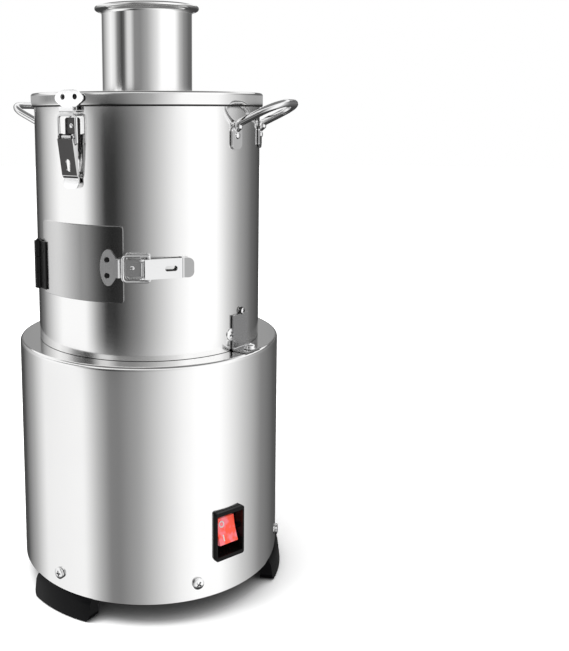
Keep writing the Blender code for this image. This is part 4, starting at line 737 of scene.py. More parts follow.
# %% Switch frame
SWITCH_PIVOT = move(0, 0.0003, -0.0055)
drum_cutter = rod(BASE_RADIUS + GAP, SHELL_LOW, SHELL_HIGH, FINE)
rim = sheet([rectangle(0.0277, 0.0395, 0.0018)], -0.002, 0.0026)
rim = cut(rim, (drum_cutter, SWITCH_PLACE.inverted()))
rim = fused(rim, sheet([rectangle(0.0256, 0.0345)], -0.024, 0.0015))
well = [
    (-0.0163, -0.0142), (0.0163, -0.0142), (0.0163, 0.0020),
    (0.0173, 0.0040), (-0.0173, 0.0040), (-0.0163, 0.0020),
]
rim = softened(cut(rim, side_sheet([well], 0.0248)), 0.00035, 3)
pin_turn = rotate("Y", 90)
boss = [(0, 0.0122), (0.0022, 0.0122), (0.0022, 0.00905), (0.0010, 0.00905), (0.0010, 0.0076), (0, 0.0076)]
for side in (-1, 1):
    rim = fused(rim, (turned(boss, 20), SWITCH_PIVOT @ rotate("Z", 90 - 90 * side) @ pin_turn))
dress("switch_bezel", rim, BEZEL, SWITCH_PLACE)

# %% [markdown]
# The rocker is a hollow-faced block: the finger rests in the dip. Its side view is drawn with the dip as an
# arc and given a width, then its edges are rounded. It sits tilted, because its upper end is pressed in.


# %% Rocker
ROCKER_HALF, DIP = 0.010, 0.0008


def rocker_face(y):
    """The height of the hollow face at a distance from the pivot."""
    return 0.0032 + DIP * (y / ROCKER_HALF) ** 2


side = [(y, rocker_face(y)) for y in [ROCKER_HALF - 0.001 * step for step in range(21)]]
side += [(-ROCKER_HALF, -0.0012), (-0.0055, -0.0045), (0.0055, -0.0045), (ROCKER_HALF, -0.0012)]
ROCKER_PLACE = SWITCH_PLACE @ SWITCH_PIVOT @ rotate("X", -17)
pin_bore = rod(0.0012, 0.0073, 0.0122, 20)
rocker = cut(side_sheet([side], 0.0175), (pin_bore, pin_turn), (pin_bore.copy(), rotate("Y", -90)))
dress("switch_rocker", softened(rocker, 0.0005, 3), ROCKER, ROCKER_PLACE)

# %% [markdown]
# The ring and the bar are thin prints on the face, in front of the two ends. Each is tilted to the slope of
# the dip where it sits.


# %% Signs on the rocker
def printed(name, loops, x, y):
    slope = math.atan(2 * DIP * y / ROCKER_HALF / ROCKER_HALF)
    at = move(x, y, rocker_face(y)) @ Matrix.Rotation(slope, 4, "X")
    return place_piece(name, sheet(loops, -0.00003, 0.00008), PRINT, "switch_rocker", ROCKER_PLACE @ at)


ring = printed("rocker_ring", [circle(0.0026), circle(0.0016)], -0.0040, 0.0054)
bar = printed("rocker_bar", [rectangle(0.0011, 0.0050, 0.0004, 4)], -0.0040, -0.0052)
print("Signs:", ring.name, bar.name)

# %% [markdown]
# The mains cord enters through a plain nylon gland at the back: a flange outside, and a nut inside.

# %% Cord gland
gland = [(0.0036, 0.0046), (0.0045, 0.0048)] + arc((0.0081, 0.0034), 0.0014, 90, 0)
gland += [(0.0095, 0.0003), (0.0078, 0.0003), (0.0078, -0.0023), (0.011, -0.0023), (0.011, -0.0073)]
gland += [(0.0078, -0.0073), (0.0078, -0.013), (0.0036, -0.013)]
dress("cord_gland", turned(gland, 48), GLAND, GLAND_PLACE)

# %% [markdown]
# ## The barrel
# The peeling barrel is a cup of 1 mm sheet, with a round corner inside its floor, where peel would stick.
# The door's opening is cut through its wall in front. Rings above and below the opening hide behind the door.

# %% Barrel
BARREL_INSIDE = BARREL_RADIUS - 0.0010
FLOOR_TOP, FLOOR_ROUND, SHAFT_HOLE = BARREL_LOW + 0.0015, 0.0025, 0.0143
OPENING_RINGS = (0.3068, 0.2524)
profile = [(BARREL_INSIDE, BARREL_HIGH), (BARREL_RADIUS, BARREL_HIGH)]
profile += [(BARREL_RADIUS, height) for height in (*OPENING_RINGS, BARREL_LOW + 0.0012, BARREL_LOW)]
profile += [(SHAFT_HOLE, BARREL_LOW), (SHAFT_HOLE, FLOOR_TOP)]
profile += arc((BARREL_INSIDE - FLOOR_ROUND, FLOOR_TOP + FLOOR_ROUND), FLOOR_ROUND, -90, 0, 8)
profile += [(BARREL_INSIDE, height) for height in OPENING_RINGS[::-1]]
seal_low, seal_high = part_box("shaft_seal")
print("The seal under the barrel's floor is", round(seal_high.x - seal_low.x, 4), "m across")
opening = sheet([rectangle(0.0688, 0.0464, 0.006)], -0.045, 0.01)
barrel = cut(turned(profile, FINE), (opening, wall_frame(0, 0.2796, BARREL_RADIUS)))
dress("barrel", barrel, POLISHED)

# %% [markdown]
# Two bent angles tie the barrel to the base. An angle is a strip bent over a small radius, with a bolt down
# through its foot. The upper faces of the feet are brighter than the flanges, which are in the barrel's
# shade, so each angle has two finishes: a grey painted shade on the flanges, and the plated finish on the
# feet.

# %% Brackets and their bolts
BRACKET_AZIMUTHS, BOLT_REACH = (86.1, 266.1), 0.0108
bent = rounded([(0.0287, 0.00105), (0.00105, 0.00105), (0.00105, 0.0150)], 0.0012, closed=False)
for index, azimuth in enumerate(BRACKET_AZIMUTHS):
    place = wall_frame(azimuth, SHELL_HIGH, BARREL_RADIUS)
    bolt_place = wall_frame(azimuth, SHELL_HIGH, BARREL_RADIUS + BOLT_REACH) @ rotate("X", -90)
    hole = (rod(0.0028, -0.004, 0.004), place.inverted() @ bolt_place)
    angle = softened(cut(side_sheet([ribbon(flat(bent), 0.0015)], 0.0195), hole), 0.0002)
    # The angle takes painted shade in grey, and the upper faces of its foot keep the plated finish.
    foot_faces = [face.index for face in angle.polygons if face.normal.y > 0.5]
    dress(f"barrel_bracket_{index + 1}", angle, SHADE_GREY_FITTING, place, CHROME, foot_faces)
    washer = softened(rod(0.0052, 0, 0.0010, 40), 0.0002)
    head = pan_head(0.0046, 0.0034, 0.45, shank=0.0025, length=0.009)
    bolt = fused(head, (washer, move(0, 0, -0.0004)))
    dress(f"bracket_bolt_{index + 1}", bolt, CHROME, bolt_place @ move(0, 0, 0.0021 + 0.0004))

# %% [markdown]
# Beside each bracket the barrel's wall shows two screw heads: a small domed one above the flange, and a
# wider, flatter one to its left. Only heads are seen, so these are pieces of the scene alone, and they ride
# on the base.

# %% Wall screws beside the brackets
for index, azimuth in enumerate(BRACKET_AZIMUTHS):
    above = wall_frame(azimuth + 1.6, SHELL_HIGH + 0.0306, BARREL_RADIUS + 0.0004, 30)
    beside = wall_frame(azimuth - 6.2, SHELL_HIGH + 0.0136, BARREL_RADIUS, 15)
    heads = (("above", 0.0031, 0.0028, above), ("beside", 0.0050, 0.0016, beside))
    for name, radius, height, spot in heads:
        screw = pan_head(radius, height, 0.6, 0.7, 0.0018, 0.0025)
        small = place_piece(f"wall_screw_{name}_{index + 1}", screw, CHROME, "base", spot)
        # The recess faces get painted shade in near black.
        darken(small, PAINTED_SHADE, recess_faces(screw, 0.0002, spot))
        print(f"{small.name}: {len(screw.polygons)} faces")

# %% [markdown]
# ## Rivets
# The handles, the strikes, the hinge and the latches are all riveted. A rivet's head is a low dome, spun from
# its middle to its rim, with a short seat that reaches into the sheet below.


# %% Rivet heads
def rivet(radius, height, seat=0.0003, steps=24):
    """A head whose dome is drawn in eight steps of 0.196, which is an eighth of a right angle."""
    dome = [(radius * math.sin(turn * 0.196), height * math.cos(turn * 0.196)) for turn in range(9)]
    return turned(dome + [(radius, -seat), (0, -seat)], steps)


# %% [markdown]
# ## The handles
# A handle is one bent wire. Its legs lie on the barrel, leave it with a tight bend, slope up and meet in a
# straight grip. The ends are hammered flat into pads, and a rivet goes through each pad. The wire is a
# curve with a round section that gets thinner towards the pads, where the two are fused.


# %% Handles
HANDLE_HEIGHT, HANDLE_HALF_ARC, HANDLE_SLOPE, GRIP_REACH = 0.3731, 14.6, 25.4, 0.1258
LEG = ((0, 0.0040, 0.0012), (0, 0.0060, 0.0020), (0, 0.0080, 0.0031), (0, 0.0112, 0.0033))
LEG_BEND, GRIP_BEND = 0.005, 0.0175


def handle_parts(azimuth):
    """The handle's own frame, the frames of its two pads, and its wire."""
    middle = wall_frame(azimuth, HANDLE_HEIGHT, 0)
    pads = (azimuth - HANDLE_HALF_ARC, azimuth + HANDLE_HALF_ARC)
    ends = [wall_frame(pad, HANDLE_HEIGHT, BARREL_RADIUS) for pad in pads]
    legs = [[middle.inverted() @ end @ Vector(point) for point in LEG] for end in ends]
    start = legs[0][-1]
    rise = (GRIP_REACH - start.z) * math.tan(math.radians(HANDLE_SLOPE))
    tip = Vector((start.x, start.y + rise, GRIP_REACH))
    corners = legs[0] + [tip, Vector((-tip.x, tip.y, tip.z))] + legs[1][::-1]
    radii = [0, 0, 0, LEG_BEND, GRIP_BEND, GRIP_BEND, LEG_BEND, 0, 0, 0]
    bent = rounded(corners, radii, closed=False, steps=12)
    thin = (0.35, 0.65, 1.0)
    shares = [*thin, *[1.0] * (len(bent) - 6), *thin[::-1]]
    return middle, ends, wire(bent, 0.003, 6, shares)


for side, azimuth in (("right", 97.6), ("left", -82.4)):
    middle, ends, handle = handle_parts(azimuth)
    tools = []
    for end in ends:
        spot = middle.inverted() @ end
        pad = softened(sheet([rectangle(0.0126, 0.0185, 0.005)], GAP, GAP + 0.0016), 0.0004)
        tools += [(pad, spot), (rivet(0.0028, 0.0016, 0.0004, 32), spot @ move(0, 0.0018, 0.0019))]
    dress(f"handle_{side}", fused(handle, *tools), CHROME, middle)

# %% [markdown]
# ## The lid and the feed tube
# The lid is a shallow drawn cap with a tight edge. Its skirt ends in a small round hem. In the photograph the
# hem is a dark line above the barrel, so its faces get a near-black painted shade.

# %% Lid
LID_RADIUS, LID_TOP, LID_EDGE, LID_HOLE = 0.0961, 0.4082, 0.002, 0.0376
HEM_TOP, HEM_IN, HEM_DROP = 0.3984, 0.0011, 0.0014
lid_corner = (LID_RADIUS - LID_EDGE, LID_TOP - LID_EDGE)
profile = [(LID_HOLE, LID_TOP), (0.0932, LID_TOP)] + arc(lid_corner, LID_EDGE, 90, 0, 10)
profile += [(LID_RADIUS, height) for height in (0.4056, 0.3990, HEM_TOP)]
turns = [math.radians(11.25 * step) for step in range(9)]
profile += [(LID_RADIUS - HEM_IN * (1 - math.cos(t)), HEM_TOP - HEM_DROP * math.sin(t)) for t in turns]
profile += [(0.0949, 0.3972)] + arc(lid_corner, 0.0008, 0, 90, 6) + [(LID_HOLE, 0.4070)]
lid = turned(profile, FINE)
# The hem's faces get painted shade.
hem_faces = [face.index for face in lid.polygons if face.center.z < HEM_TOP + 0.00005]
dress("lid", lid, LID_POLISHED, second=PAINTED_SHADE, second_faces=hem_faces)

# %% [markdown]
# The tube through the lid is welded to it, with a small fillet outside and a collar inside. Its mouth is
# flared and rolled into a bead, so that no hand meets a cut edge. One profile holds all of that: up the
# inside, round the bead, down the outside, and over the fillet and the collar.

# %% Feed tube
TUBE, TUBE_TOP, BEAD = 0.0373, 0.4789, 0.0017
TUBE_INSIDE = TUBE - 0.0010
bead = (TUBE + 0.0058 - BEAD, TUBE_TOP - BEAD)
flare = bead[1] - 0.0052


def flared(radius, rise):
    """A quarter of an oval, from the tube's wall out to the bead's middle."""
    reach = bead[0] - radius
    turns = [math.radians(9 * step) for step in range(11)]
    return [(radius + reach * (1 - math.cos(t)), flare + rise * math.sin(t)) for t in turns]


profile = flared(TUBE_INSIDE, TUBE_TOP - flare) + arc(bead, BEAD, 80, -80, 16)
profile += flared(TUBE, bead[1] - BEAD - flare)[::-1]
profile += [(TUBE, flare - 0.0008), (TUBE, 0.4104), (TUBE, 0.4097)]
profile += [(TUBE + 0.0005, 0.4089), (TUBE + 0.0012, 0.4085), (TUBE, 0.4085)]
profile += [(TUBE, 0.4067), (TUBE + 0.0025, 0.4067), (TUBE + 0.0025, 0.4052), (TUBE, 0.4052)]
profile += [(TUBE, 0.3990), (TUBE_INSIDE, 0.3990), (TUBE_INSIDE, flare - 0.0008)]
dress("feed_tube", turned(profile, FINE), LID_POLISHED)

# %% [markdown]
# ## The door
# The door is a piece of the same kind of sheet, rolled to the barrel's curve. Its outline is drawn flat and
# the plate is bent by placing each point at its angle: that keeps the reflections clean, which cutting it
# from a ring wouldn't. The rounded corners come from making the end columns shorter.


# %% Curved plates
def curved_plate(inner, outer, start, end, low, high, corner=0.0, columns=40):
    """A plate on a round wall, from one azimuth to another, with rounded corners."""
    width = math.radians(end - start) * outer
    stops = [width * step / columns for step in range(columns + 1)]
    if corner:
        near = [corner * (1 - math.cos(math.radians(15 * step))) for step in range(7)]
        inside_stops = [stop for stop in stops if corner < stop < width - corner]
        stops = near + inside_stops + [width - stop for stop in reversed(near)]
    shape = bmesh.new()
    rows = []
    for stop in stops:
        depth = corner - min(stop, width - stop, corner)
        drop = corner - math.sqrt(max(corner * corner - depth * depth, 0))
        angle = math.radians(start) + stop / outer
        column = []
        corners = ((outer, low + drop), (outer, high - drop), (inner, high - drop), (inner, low + drop))
        for radius, height in corners:
            column.append(shape.verts.new((radius * math.sin(angle), -radius * math.cos(angle), height)))
        rows.append(column)
    for first, second in zip(rows, rows[1:]):
        for index in range(4):
            after = (index + 1) % 4
            shape.faces.new((first[index], second[index], second[after], first[after]))
    shape.faces.new(rows[0])
    shape.faces.new(rows[-1][::-1])
    mesh = bpy.data.meshes.new("curved_plate")
    shape.to_mesh(mesh)
    shape.free()
    return tidy(mesh)


DOOR_INNER, DOOR_OUTER, DOOR_HALF_ARC = 0.0939, 0.0949, 25.2
door = curved_plate(DOOR_INNER, DOOR_OUTER, -DOOR_HALF_ARC, DOOR_HALF_ARC, 0.2504, 0.3088, 0.0025)
dress("door_panel", softened(door, 0.00042, 4), DOOR_SATIN)

# %% [markdown]
# A strike is a small plate with two round ears and a neck that curls out into a hook. It is drawn as seen
# from in front, the curl is drawn from the side, and both are fused. Each ear has a hole, and in both holes
# a dark rivet sits deep enough to read as a shadow.


# %% Strikes
STRIKE_HOLES = ((-0.0060, 0.0008), (0.0060, 0.0008))
HOOK = (0.0026, -0.0086)
LATCH_HEIGHT = 0.2775


def strike():
    tall, neck, end = 0.0064, 0.007, 0.0091
    outline = [(across * 0.01385, along * tall) for across, along in arc((0, 0), 1, -25, 205, 40)]
    outline += [(-neck, -tall), (-neck, -end), (neck, -end), (neck, -tall)]
    curl = [(-tall, 0.0008)] + [(y, z) for z, y in arc(HOOK, 0.0018, 180, 360, 16)]
    curl.append((HOOK[1] + 0.0022, 0.0044))
    plate = fused(sheet([outline], GAP, GAP + 0.0010), side_sheet([ribbon(curl, 0.0010)], 0.0136))
    for x, y in STRIKE_HOLES:
        plate = cut(plate, (rod(0.0022, -0.002, 0.004), move(x, y, 0)))
    return softened(plate, 0.0003)


STRIKES = {
    "lid_strike_front": (wall_frame(0, LID_TOP - 0.0048, LID_RADIUS), "lid", CHROME),
    "lid_strike_rear": (wall_frame(180, LID_TOP - 0.0076, LID_RADIUS), "lid", CHROME),
    "door_strike": (wall_frame(18.2, LATCH_HEIGHT, DOOR_OUTER, 90), "door", SATIN_FITTING),
}
for name, (place, body, finish) in STRIKES.items():
    dress(name, strike(), finish, place)
    for number, (x, y) in enumerate(STRIKE_HOLES):
        # The rivets in the holes are black as painted shade.
        place_piece(f"{name}_rivet_{number + 1}", rivet(0.0019, 0.0004), BLACK, body, place @ move(x, y, GAP))

# %% [markdown]
# The hinge is black. Its leaves follow the wall, and three knuckles share a pin: the outer two belong to the
# barrel's leaf and the middle one to the door's. Four small rivets hold the leaves.


# %% Parts of the hinge
HINGE_AZIMUTH, HINGE_MIDDLE, HINGE_PIN_RADIUS = -29.1, 0.2722, 0.0973
PIN_PLACE = Matrix.Translation(wall_frame(HINGE_AZIMUTH, HINGE_MIDDLE, HINGE_PIN_RADIUS).translation)
HALF = 0.0383 / 2
THIRD, SLACK = HALF / 3, 0.0002
DOOR_LEAF, WALL_LEAF, LEAF_SHEET = 0.0952, 0.0939, 0.0012
PIN = 0.0015


def leaf_plate(inner, start, end, low, high):
    """A plate beside the pin. Start and end are distances from it, to the right."""
    outer = inner + LEAF_SHEET
    angles = [HINGE_AZIMUTH + math.degrees(math.asin(x / outer)) for x in (start, end)]
    return curved_plate(inner, outer, *angles, HINGE_MIDDLE + low, HINGE_MIDDLE + high, columns=10)


def knuckle(low, high):
    return turned([(PIN, high), (0.0030, high), (0.0030, low), (PIN, low)], 32)


# %% [markdown]
# The pin's bore goes through leaves and knuckles in one cut. The pin has a thin head at its top.

# %% Hinge
bore = (rod(PIN, -HALF - 0.002, HALF + 0.002), PIN_PLACE)
leaf = leaf_plate(DOOR_LEAF, 0.0036, 0.0125, -HALF, HALF)
tab = leaf_plate(DOOR_LEAF, 0, 0.0040, SLACK - THIRD, THIRD - SLACK)
leaf = fused(leaf, tab, (knuckle(SLACK - THIRD, THIRD - SLACK), PIN_PLACE))
dress("hinge_door_leaf", softened(cut(leaf, bore), 0.00015), BLACK)
leaf = leaf_plate(WALL_LEAF, -0.0125, -0.0036, -HALF, HALF)
for low, high in ((-HALF, -THIRD - SLACK), (THIRD + SLACK, HALF)):
    leaf = fused(leaf, leaf_plate(WALL_LEAF, -0.0040, 0, low, high), (knuckle(low, high), PIN_PLACE))
dress("hinge_fixed_leaf", softened(cut(leaf, bore), 0.00015), BLACK)
end = HALF + 0.0006
pin = [(0, end + 0.0006), (0.0010, end + 0.0006), (PIN, end + 0.0003), (PIN, end), (0.0013, end)]
dress("hinge_pin", turned(pin + [(0.0013, -end), (0, -end)], 32), BLACK, PIN_PLACE)
for number, (x, y) in enumerate(((0.0082, 0.012), (0.0082, -0.012), (-0.0082, 0.012), (-0.0082, -0.012))):
    inner, body = (DOOR_LEAF, "door") if x > 0 else (WALL_LEAF, "base")
    radius = inner + LEAF_SHEET
    place = wall_frame(HINGE_AZIMUTH + math.degrees(math.asin(x / radius)), HINGE_MIDDLE + y, radius)
    place_piece(f"hinge_rivet_{number + 1}", rivet(0.0017, 0.0005), BLACK, body, place)

# %% [markdown]
# ## The toggle latches
# A toggle latch pulls a wire loop over the strike's hook: its lever turns on a pin, and once the loop's
# pivot is past the line from the pin to the hook, the pull itself keeps the lever shut. Three are on the
# machine, and all are the same bought part. In their frame, Y points at the hook and Z away from the wall.


# %% Latch base and pin
LATCH_RIVETS = (0.008, -0.008)
LATCH_PIN_OUT = 0.0065


def latch_base():
    outline = [(-0.0062, -0.010), (0.0062, -0.010), (0.0062, 0.0142), (-0.0062, 0.0142)]
    holes = [circle(0.0016, (0, y)) for y in LATCH_RIVETS]
    plate = sheet([flat(rounded(outline, 0.002)), *holes], GAP, 0.0015)
    ear = [(-0.0018, 0.0009), (0.0018, 0.0009)] + arc((0, LATCH_PIN_OUT), 0.0018, 0, 180, 20)
    for side in (-1, 1):
        mesh = side_sheet([ear, circle(0.0014, (0, LATCH_PIN_OUT), 24)], 0.0008)
        plate = fused(plate, (mesh, move(side * 0.0055, 0, 0)))
    return softened(plate, 0.00015)


def latch_pin():
    half, radius, corner = 0.0074, 0.0012, 0.0004
    upper = arc((radius - corner, half - corner), corner, 90, 0, 4)
    lower = arc((radius - corner, corner - half), corner, 0, -90, 4)
    return turned([(0, half)] + upper + lower + [(0, -half)], 24)


# %% [markdown]
# The lever is a channel, open towards the wall: a flat back with two deep cheeks that hold the pin and the
# loop's ends, and a thin finger tip that steps in towards the wall. The strip is drawn from the side, and
# the cheeks are side plates. A slot for a padlock is cut near its end.


# %% Latch lever
LEVER_WIDTH, LEVER_SHEET = 0.0150, 0.0010
WEB_OUT, END_OUT, TIP_START, TIP_END = 0.0021, -0.0025, -0.0289, -0.0390
LOOP_PIVOT = move(0, -0.005, -0.001)
ACROSS = rotate("Y", 90)


def finger_tip():
    """The thin end of the lever, with two round corners."""
    path = [(-0.0267, END_OUT), (TIP_START, END_OUT)]
    path += [(-0.0311, END_OUT - 0.0018), (TIP_END, END_OUT - 0.0010)]
    strip = ribbon(flat(rounded(path, 0.0015, closed=False)), LEVER_SHEET)
    half = LEVER_WIDTH / 2
    limits = [(-half, TIP_END), (half, TIP_END), (half, 0), (-half, 0)]
    limits = flat(rounded(limits, [0.0045, 0.0045, 0, 0], steps=12))
    return worked(side_sheet([strip], LEVER_WIDTH), "INTERSECT", sheet([limits], -0.015, 0.015))


def lever():
    body = side_sheet([ribbon([(-0.0014, WEB_OUT), (TIP_START, END_OUT)], LEVER_SHEET)], LEVER_WIDTH)
    cheek = [
        (0.0023, WEB_OUT), (TIP_START, END_OUT), (TIP_START, END_OUT - 0.0014),
        (-0.0075, -0.0034), (-0.0025, -0.0034), (0.0023, -0.0026),
    ]
    cheek = flat(rounded(cheek, [0.0012, 0, 0.0006, 0.004, 0.002, 0.0012]))
    cheeks = [(side_sheet([cheek], LEVER_SHEET), move(side * 0.0069, 0, 0)) for side in (-1, 1)]
    body = fused(body, finger_tip(), *cheeks)
    slot = (sheet([rectangle(0.0042, 0.0095, 0.0021)], -0.015, 0.015), move(0, -0.0215, 0))
    pin_bore = (rod(0.0015, -0.015, 0.015), ACROSS)
    loop_bore = (rod(0.0014, -0.015, 0.015), LOOP_PIVOT @ ACROSS)
    return softened(cut(body, slot, pin_bore, loop_bore), 0.0002)


# %% [markdown]
# The loop is a wire bent four times. Its two ends turn in, and sit in the bores of the lever's cheeks.


# %% Latch loop
def bail(length, half):
    corners = [(0.0062, 0), (half, 0), (half, length), (-half, length), (-half, 0), (-0.0062, 0)]
    bent = rounded(corners, [0, 0.0016, 0.003, 0.003, 0.0016, 0], closed=False, steps=10)
    return wire(bent, 0.0011, 5)


def bail_frame(along, pivot):
    """The loop's frame: at its pivot, with Y along the latch frame. The turn onto the hook comes after."""
    return Matrix.Translation(pivot) @ along.to_3x3().to_4x4()


# %% [markdown]
# A latch is put together in its own frame. On the lid's latches the backs of the levers mirror a dark part
# of the room, so they get a near-black painted reflection there, and their bases get near-black painted shade.
# The door's latch has a bright lever on a base with grey painted shade. A latch's pieces carry the names of
# their solids, with the latch's own word in the gap.


# %% One latch
def back_faces(mesh):
    """The faces of a lever's flat back, from its pin to the step of its finger tip."""
    found = []
    for face in mesh.polygons:
        if face.normal.z > 0.95 and TIP_START < face.center.y < -0.0005:
            found.append(face.index)
    return found


def build_latch(words, place, lever_angle, length, bail_angle):
    on_lid = words.startswith("lid")
    pin_place = place @ move(0, 0, LATCH_PIN_OUT)
    lever_place = pin_place @ rotate("X", -lever_angle)
    pivot = (lever_place @ LOOP_PIVOT).translation
    loop_place = bail_frame(place, pivot) @ rotate("X", bail_angle)
    # Painted shade on the base: near black on the lid's latches, grey on the door's.
    dress(words.format("latch_base"), latch_base(), PAINTED_SHADE if on_lid else SHADE_GREY_FITTING, place)
    dress(words.format("latch_pin"), latch_pin(), CHROME, pin_place @ ACROSS)
    bent = lever()
    # On the lid's latches the lever's back gets a near-black painted reflection.
    dress(words.format("latch_lever"), bent, CHROME, lever_place, PAINTED_SHADE, back_faces(bent) if on_lid else ())
    dress(words.format("latch_bail"), bail(length, 0.0086 if on_lid else 0.0097), CHROME, loop_place)
    for number, y in enumerate(LATCH_RIVETS):
        name = words.format(f"latch_rivet_{number + 1}")
        place_piece(name, rivet(0.0019, 0.0006), CHROME, "base", place @ move(0, y, 0.0015))


# %% [markdown]
# Two latches stand upright under the lid, and each one's height is read from its solid pin. The door's lies
# on its side, with its lever leaning a little towards the wall. The two lengths are those of the loops.

# %% Place the three latches
DOOR_LATCH_AZIMUTH = 34.19
for name in ("lid_latch_pin_front", "lid_latch_pin_rear", "door_latch_pin"):
    low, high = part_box(name)
    print(name, "has its middle at", short((low + high) / 2))
for end, azimuth in (("front", 0), ("rear", 180)):
    low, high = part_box(f"lid_latch_pin_{end}")
    place = wall_frame(azimuth, (low.z + high.z) / 2, BARREL_RADIUS)
    build_latch("lid_{}_" + end, place, 0, 0.0212, 1.1)
build_latch("door_{}", wall_frame(DOOR_LATCH_AZIMUTH, LATCH_HEIGHT, BARREL_RADIUS, 90), -8, 0.0198, 0)

# %% [markdown]
# ## What is inside
# The motor, its fan and bearings, the capacitor, the disc with its paddles and the seals keep the solids'
# own shapes. They get a finish, and a small chain of geometry nodes that joins their points and shades the
# round faces smooth while edges stay crisp. Nothing of their shape changes.


# %% Smooth shading for the solids that stay
def crisp_shading(angle=32):
    group = bpy.data.node_groups.new("Crisp shading", "GeometryNodeTree")
    for way in ("INPUT", "OUTPUT"):
        group.interface.new_socket("Geometry", in_out=way, socket_type="NodeSocketGeometry")
    entry = add(group, "NodeGroupInput")
    merge = add(group, "GeometryNodeMergeByDistance", Geometry=entry.outputs[0], Distance=0.000002)
    turn = add(group, "GeometryNodeInputMeshEdgeAngle").outputs["Unsigned Angle"]
    flat_edge = add(group, "FunctionNodeCompare", operation="LESS_THAN", A=turn, B=math.radians(angle))
    faces = add(group, "GeometryNodeSetShadeSmooth", Geometry=merge.outputs[0])
    edges = add(
        group, "GeometryNodeSetShadeSmooth", domain="EDGE",
        Geometry=faces.outputs[0], Shade_Smooth=flat_edge.outputs[0],
    )
    add(group, "NodeGroupOutput", edges.outputs[0])
    return group


CRISP = crisp_shading()
print(CRISP.name, "has", len(CRISP.nodes), "nodes")

# %% [markdown]
# Cut sheet, castings, ground bearings, nylon and silicone: each solid gets the finish of what it is made of.

# %% Finishes of the solids that stay
STAYING = {
    "bottom_plate": SHEET, "peeling_disc": SHEET, "capacitor_clip": SHEET, "motor_housing": IRON,
    "motor_end_bell": IRON, "motor_rotor": IRON, "upper_bearing": BEARING, "lower_bearing": BEARING,
    "motor_shaft": BEARING, "clamp_nut": CHROME, "cooling_fan": FAN, "run_capacitor": CAN,
    "silicone_paddles": RUBBER, "lid_gasket": RUBBER, "shaft_seal": BLACK,
}
for node, finish in STAYING.items():
    solid = solids[node]
    solid.data.materials.clear()
    solid.data.materials.append(finish)
    shading = solid.modifiers.new("Crisp shading", "NODES")
    shading.node_group = CRISP
print(len(STAYING), "solids keep their shape")

# %% [markdown]
# ## The studio
# Polished steel has almost no colour of its own: what it shows is the room. The photograph's drum has white
# stripes where tall soft lamps stood, a black stripe from a dark card between them, and greys from the
# walls. So a round wall of paper stands about the machine, which only reflections see. Its light and dark
# boards are listed, one row for each height, and each row runs softly from board to board. A board is
# an azimuth from the camera's side, and its tone.

# %% Boards round the machine
BOARDS = {
    "ground": ((-180, 0.03), (0, 0.06), (180, 0.03)),
    "base": (
        (-180, 0.05), (-144, 0.07), (-120, 0.42), (-101, 0.90), (-58, 0.98), (-44, 0.48),
        (-34, 0.22), (-26, 0.21), (-9, 0.37), (9, 0.68), (26, 0.96), (38, 1.08), (61, 1.08),
        (86, 0.62), (111, 0.24), (140, 0.10), (180, 0.05),
    ),
    "barrel": (
        (-180, 0.05), (-150, 0.06), (-135, 0.19), (-119, 0.55), (-96, 1.02), (-65, 1.02),
        (-51, 0.30), (-42, 0.03), (-32, 0.03), (-24, 0.09), (-9, 0.25), (9, 0.58), (26, 0.90),
        (42, 1.10), (69, 1.10), (85, 0.68), (102, 0.36), (127, 0.14), (150, 0.07), (180, 0.05),
    ),
    "lid": (
        (-180, 0.38), (-129, 0.42), (-111, 0.24), (-92, 0.28), (-86, 1.6), (-70, 1.6), (-65, 0.24),
        (-52, 0.16), (-37, 0.11), (-23, 0.18), (-14, 0.27), (-5, 0.34), (4, 0.40), (13, 0.62),
        (22, 0.79), (31, 1.02), (68, 1.02), (83, 0.78), (95, 0.63), (110, 0.43), (127, 0.38),
        (180, 0.38),
    ),
    "tube": (
        (-180, 0.62), (-171, 0.34), (-150, 0.14), (-128, 0.52), (-103, 0.98), (-90, 0.80),
        (-79, 0.24), (-66, 0.06), (-59, 0.12), (-49, 0.72), (-41, 0.74), (-31, 0.26), (-16, 0.25),
        (0, 0.39), (25, 0.80), (36, 1.08), (74, 1.08), (90, 0.52), (106, 0.28), (130, 0.14),
        (150, 0.12), (171, 0.34), (180, 0.62),
    ),
}
print("Boards in each row:", {name: len(row) for name, row in BOARDS.items()})

# %% [markdown]
# A colour ramp holds one row. Two more helpers come back on the floor and in the room: one clears a tree,
# and one tells rays that see from rays that carry light.


# %% Ramps and rays
def level_ramp(tree, share, stops):
    """Grey levels along a share from 0 to 1. A stop is a share and its level."""
    ramp = add(tree, "ShaderNodeValToRGB", share)
    points = ramp.color_ramp.elements
    while len(points) < len(stops):
        points.new(0.5)
    for point, (position, level) in zip(points, stops):
        point.position = position
        point.color = (level, level, level, 1)
    return ramp.outputs[0]


def cleared_tree(owner):
    owner.use_nodes = True
    owner.node_tree.nodes.clear()
    return owner.node_tree


def seeing_ray(tree):
    """1 for a ray that comes from the camera, from steel or through glass, and 0 for all others."""
    ray = add(tree, "ShaderNodeLightPath").outputs
    seen = maths(tree, "MAXIMUM", ray["Is Camera Ray"], ray["Is Glossy Ray"])
    return maths(tree, "MAXIMUM", seen, ray["Is Transmission Ray"])


# %% [markdown]
# The wall's rows blend into each other with height. The camera looks down a little, so an upright drum
# mirrors what is lower than itself: the base's row lies wholly below the floor, and the barrel's starts there
# too. The wall also has a roof, grey over the machine and white further out, for the edges that look up.


# %% Paper wall
ROW_HEIGHTS = {
    "base": (-1.30, -1.02), "barrel": (-0.245, -0.205), "lid": (0.416, 0.424), "tube": (0.454, 0.460),
}
WALL_RADIUS, WALL_LOW, WALL_HIGH = 1.6, -2.4, 1.0


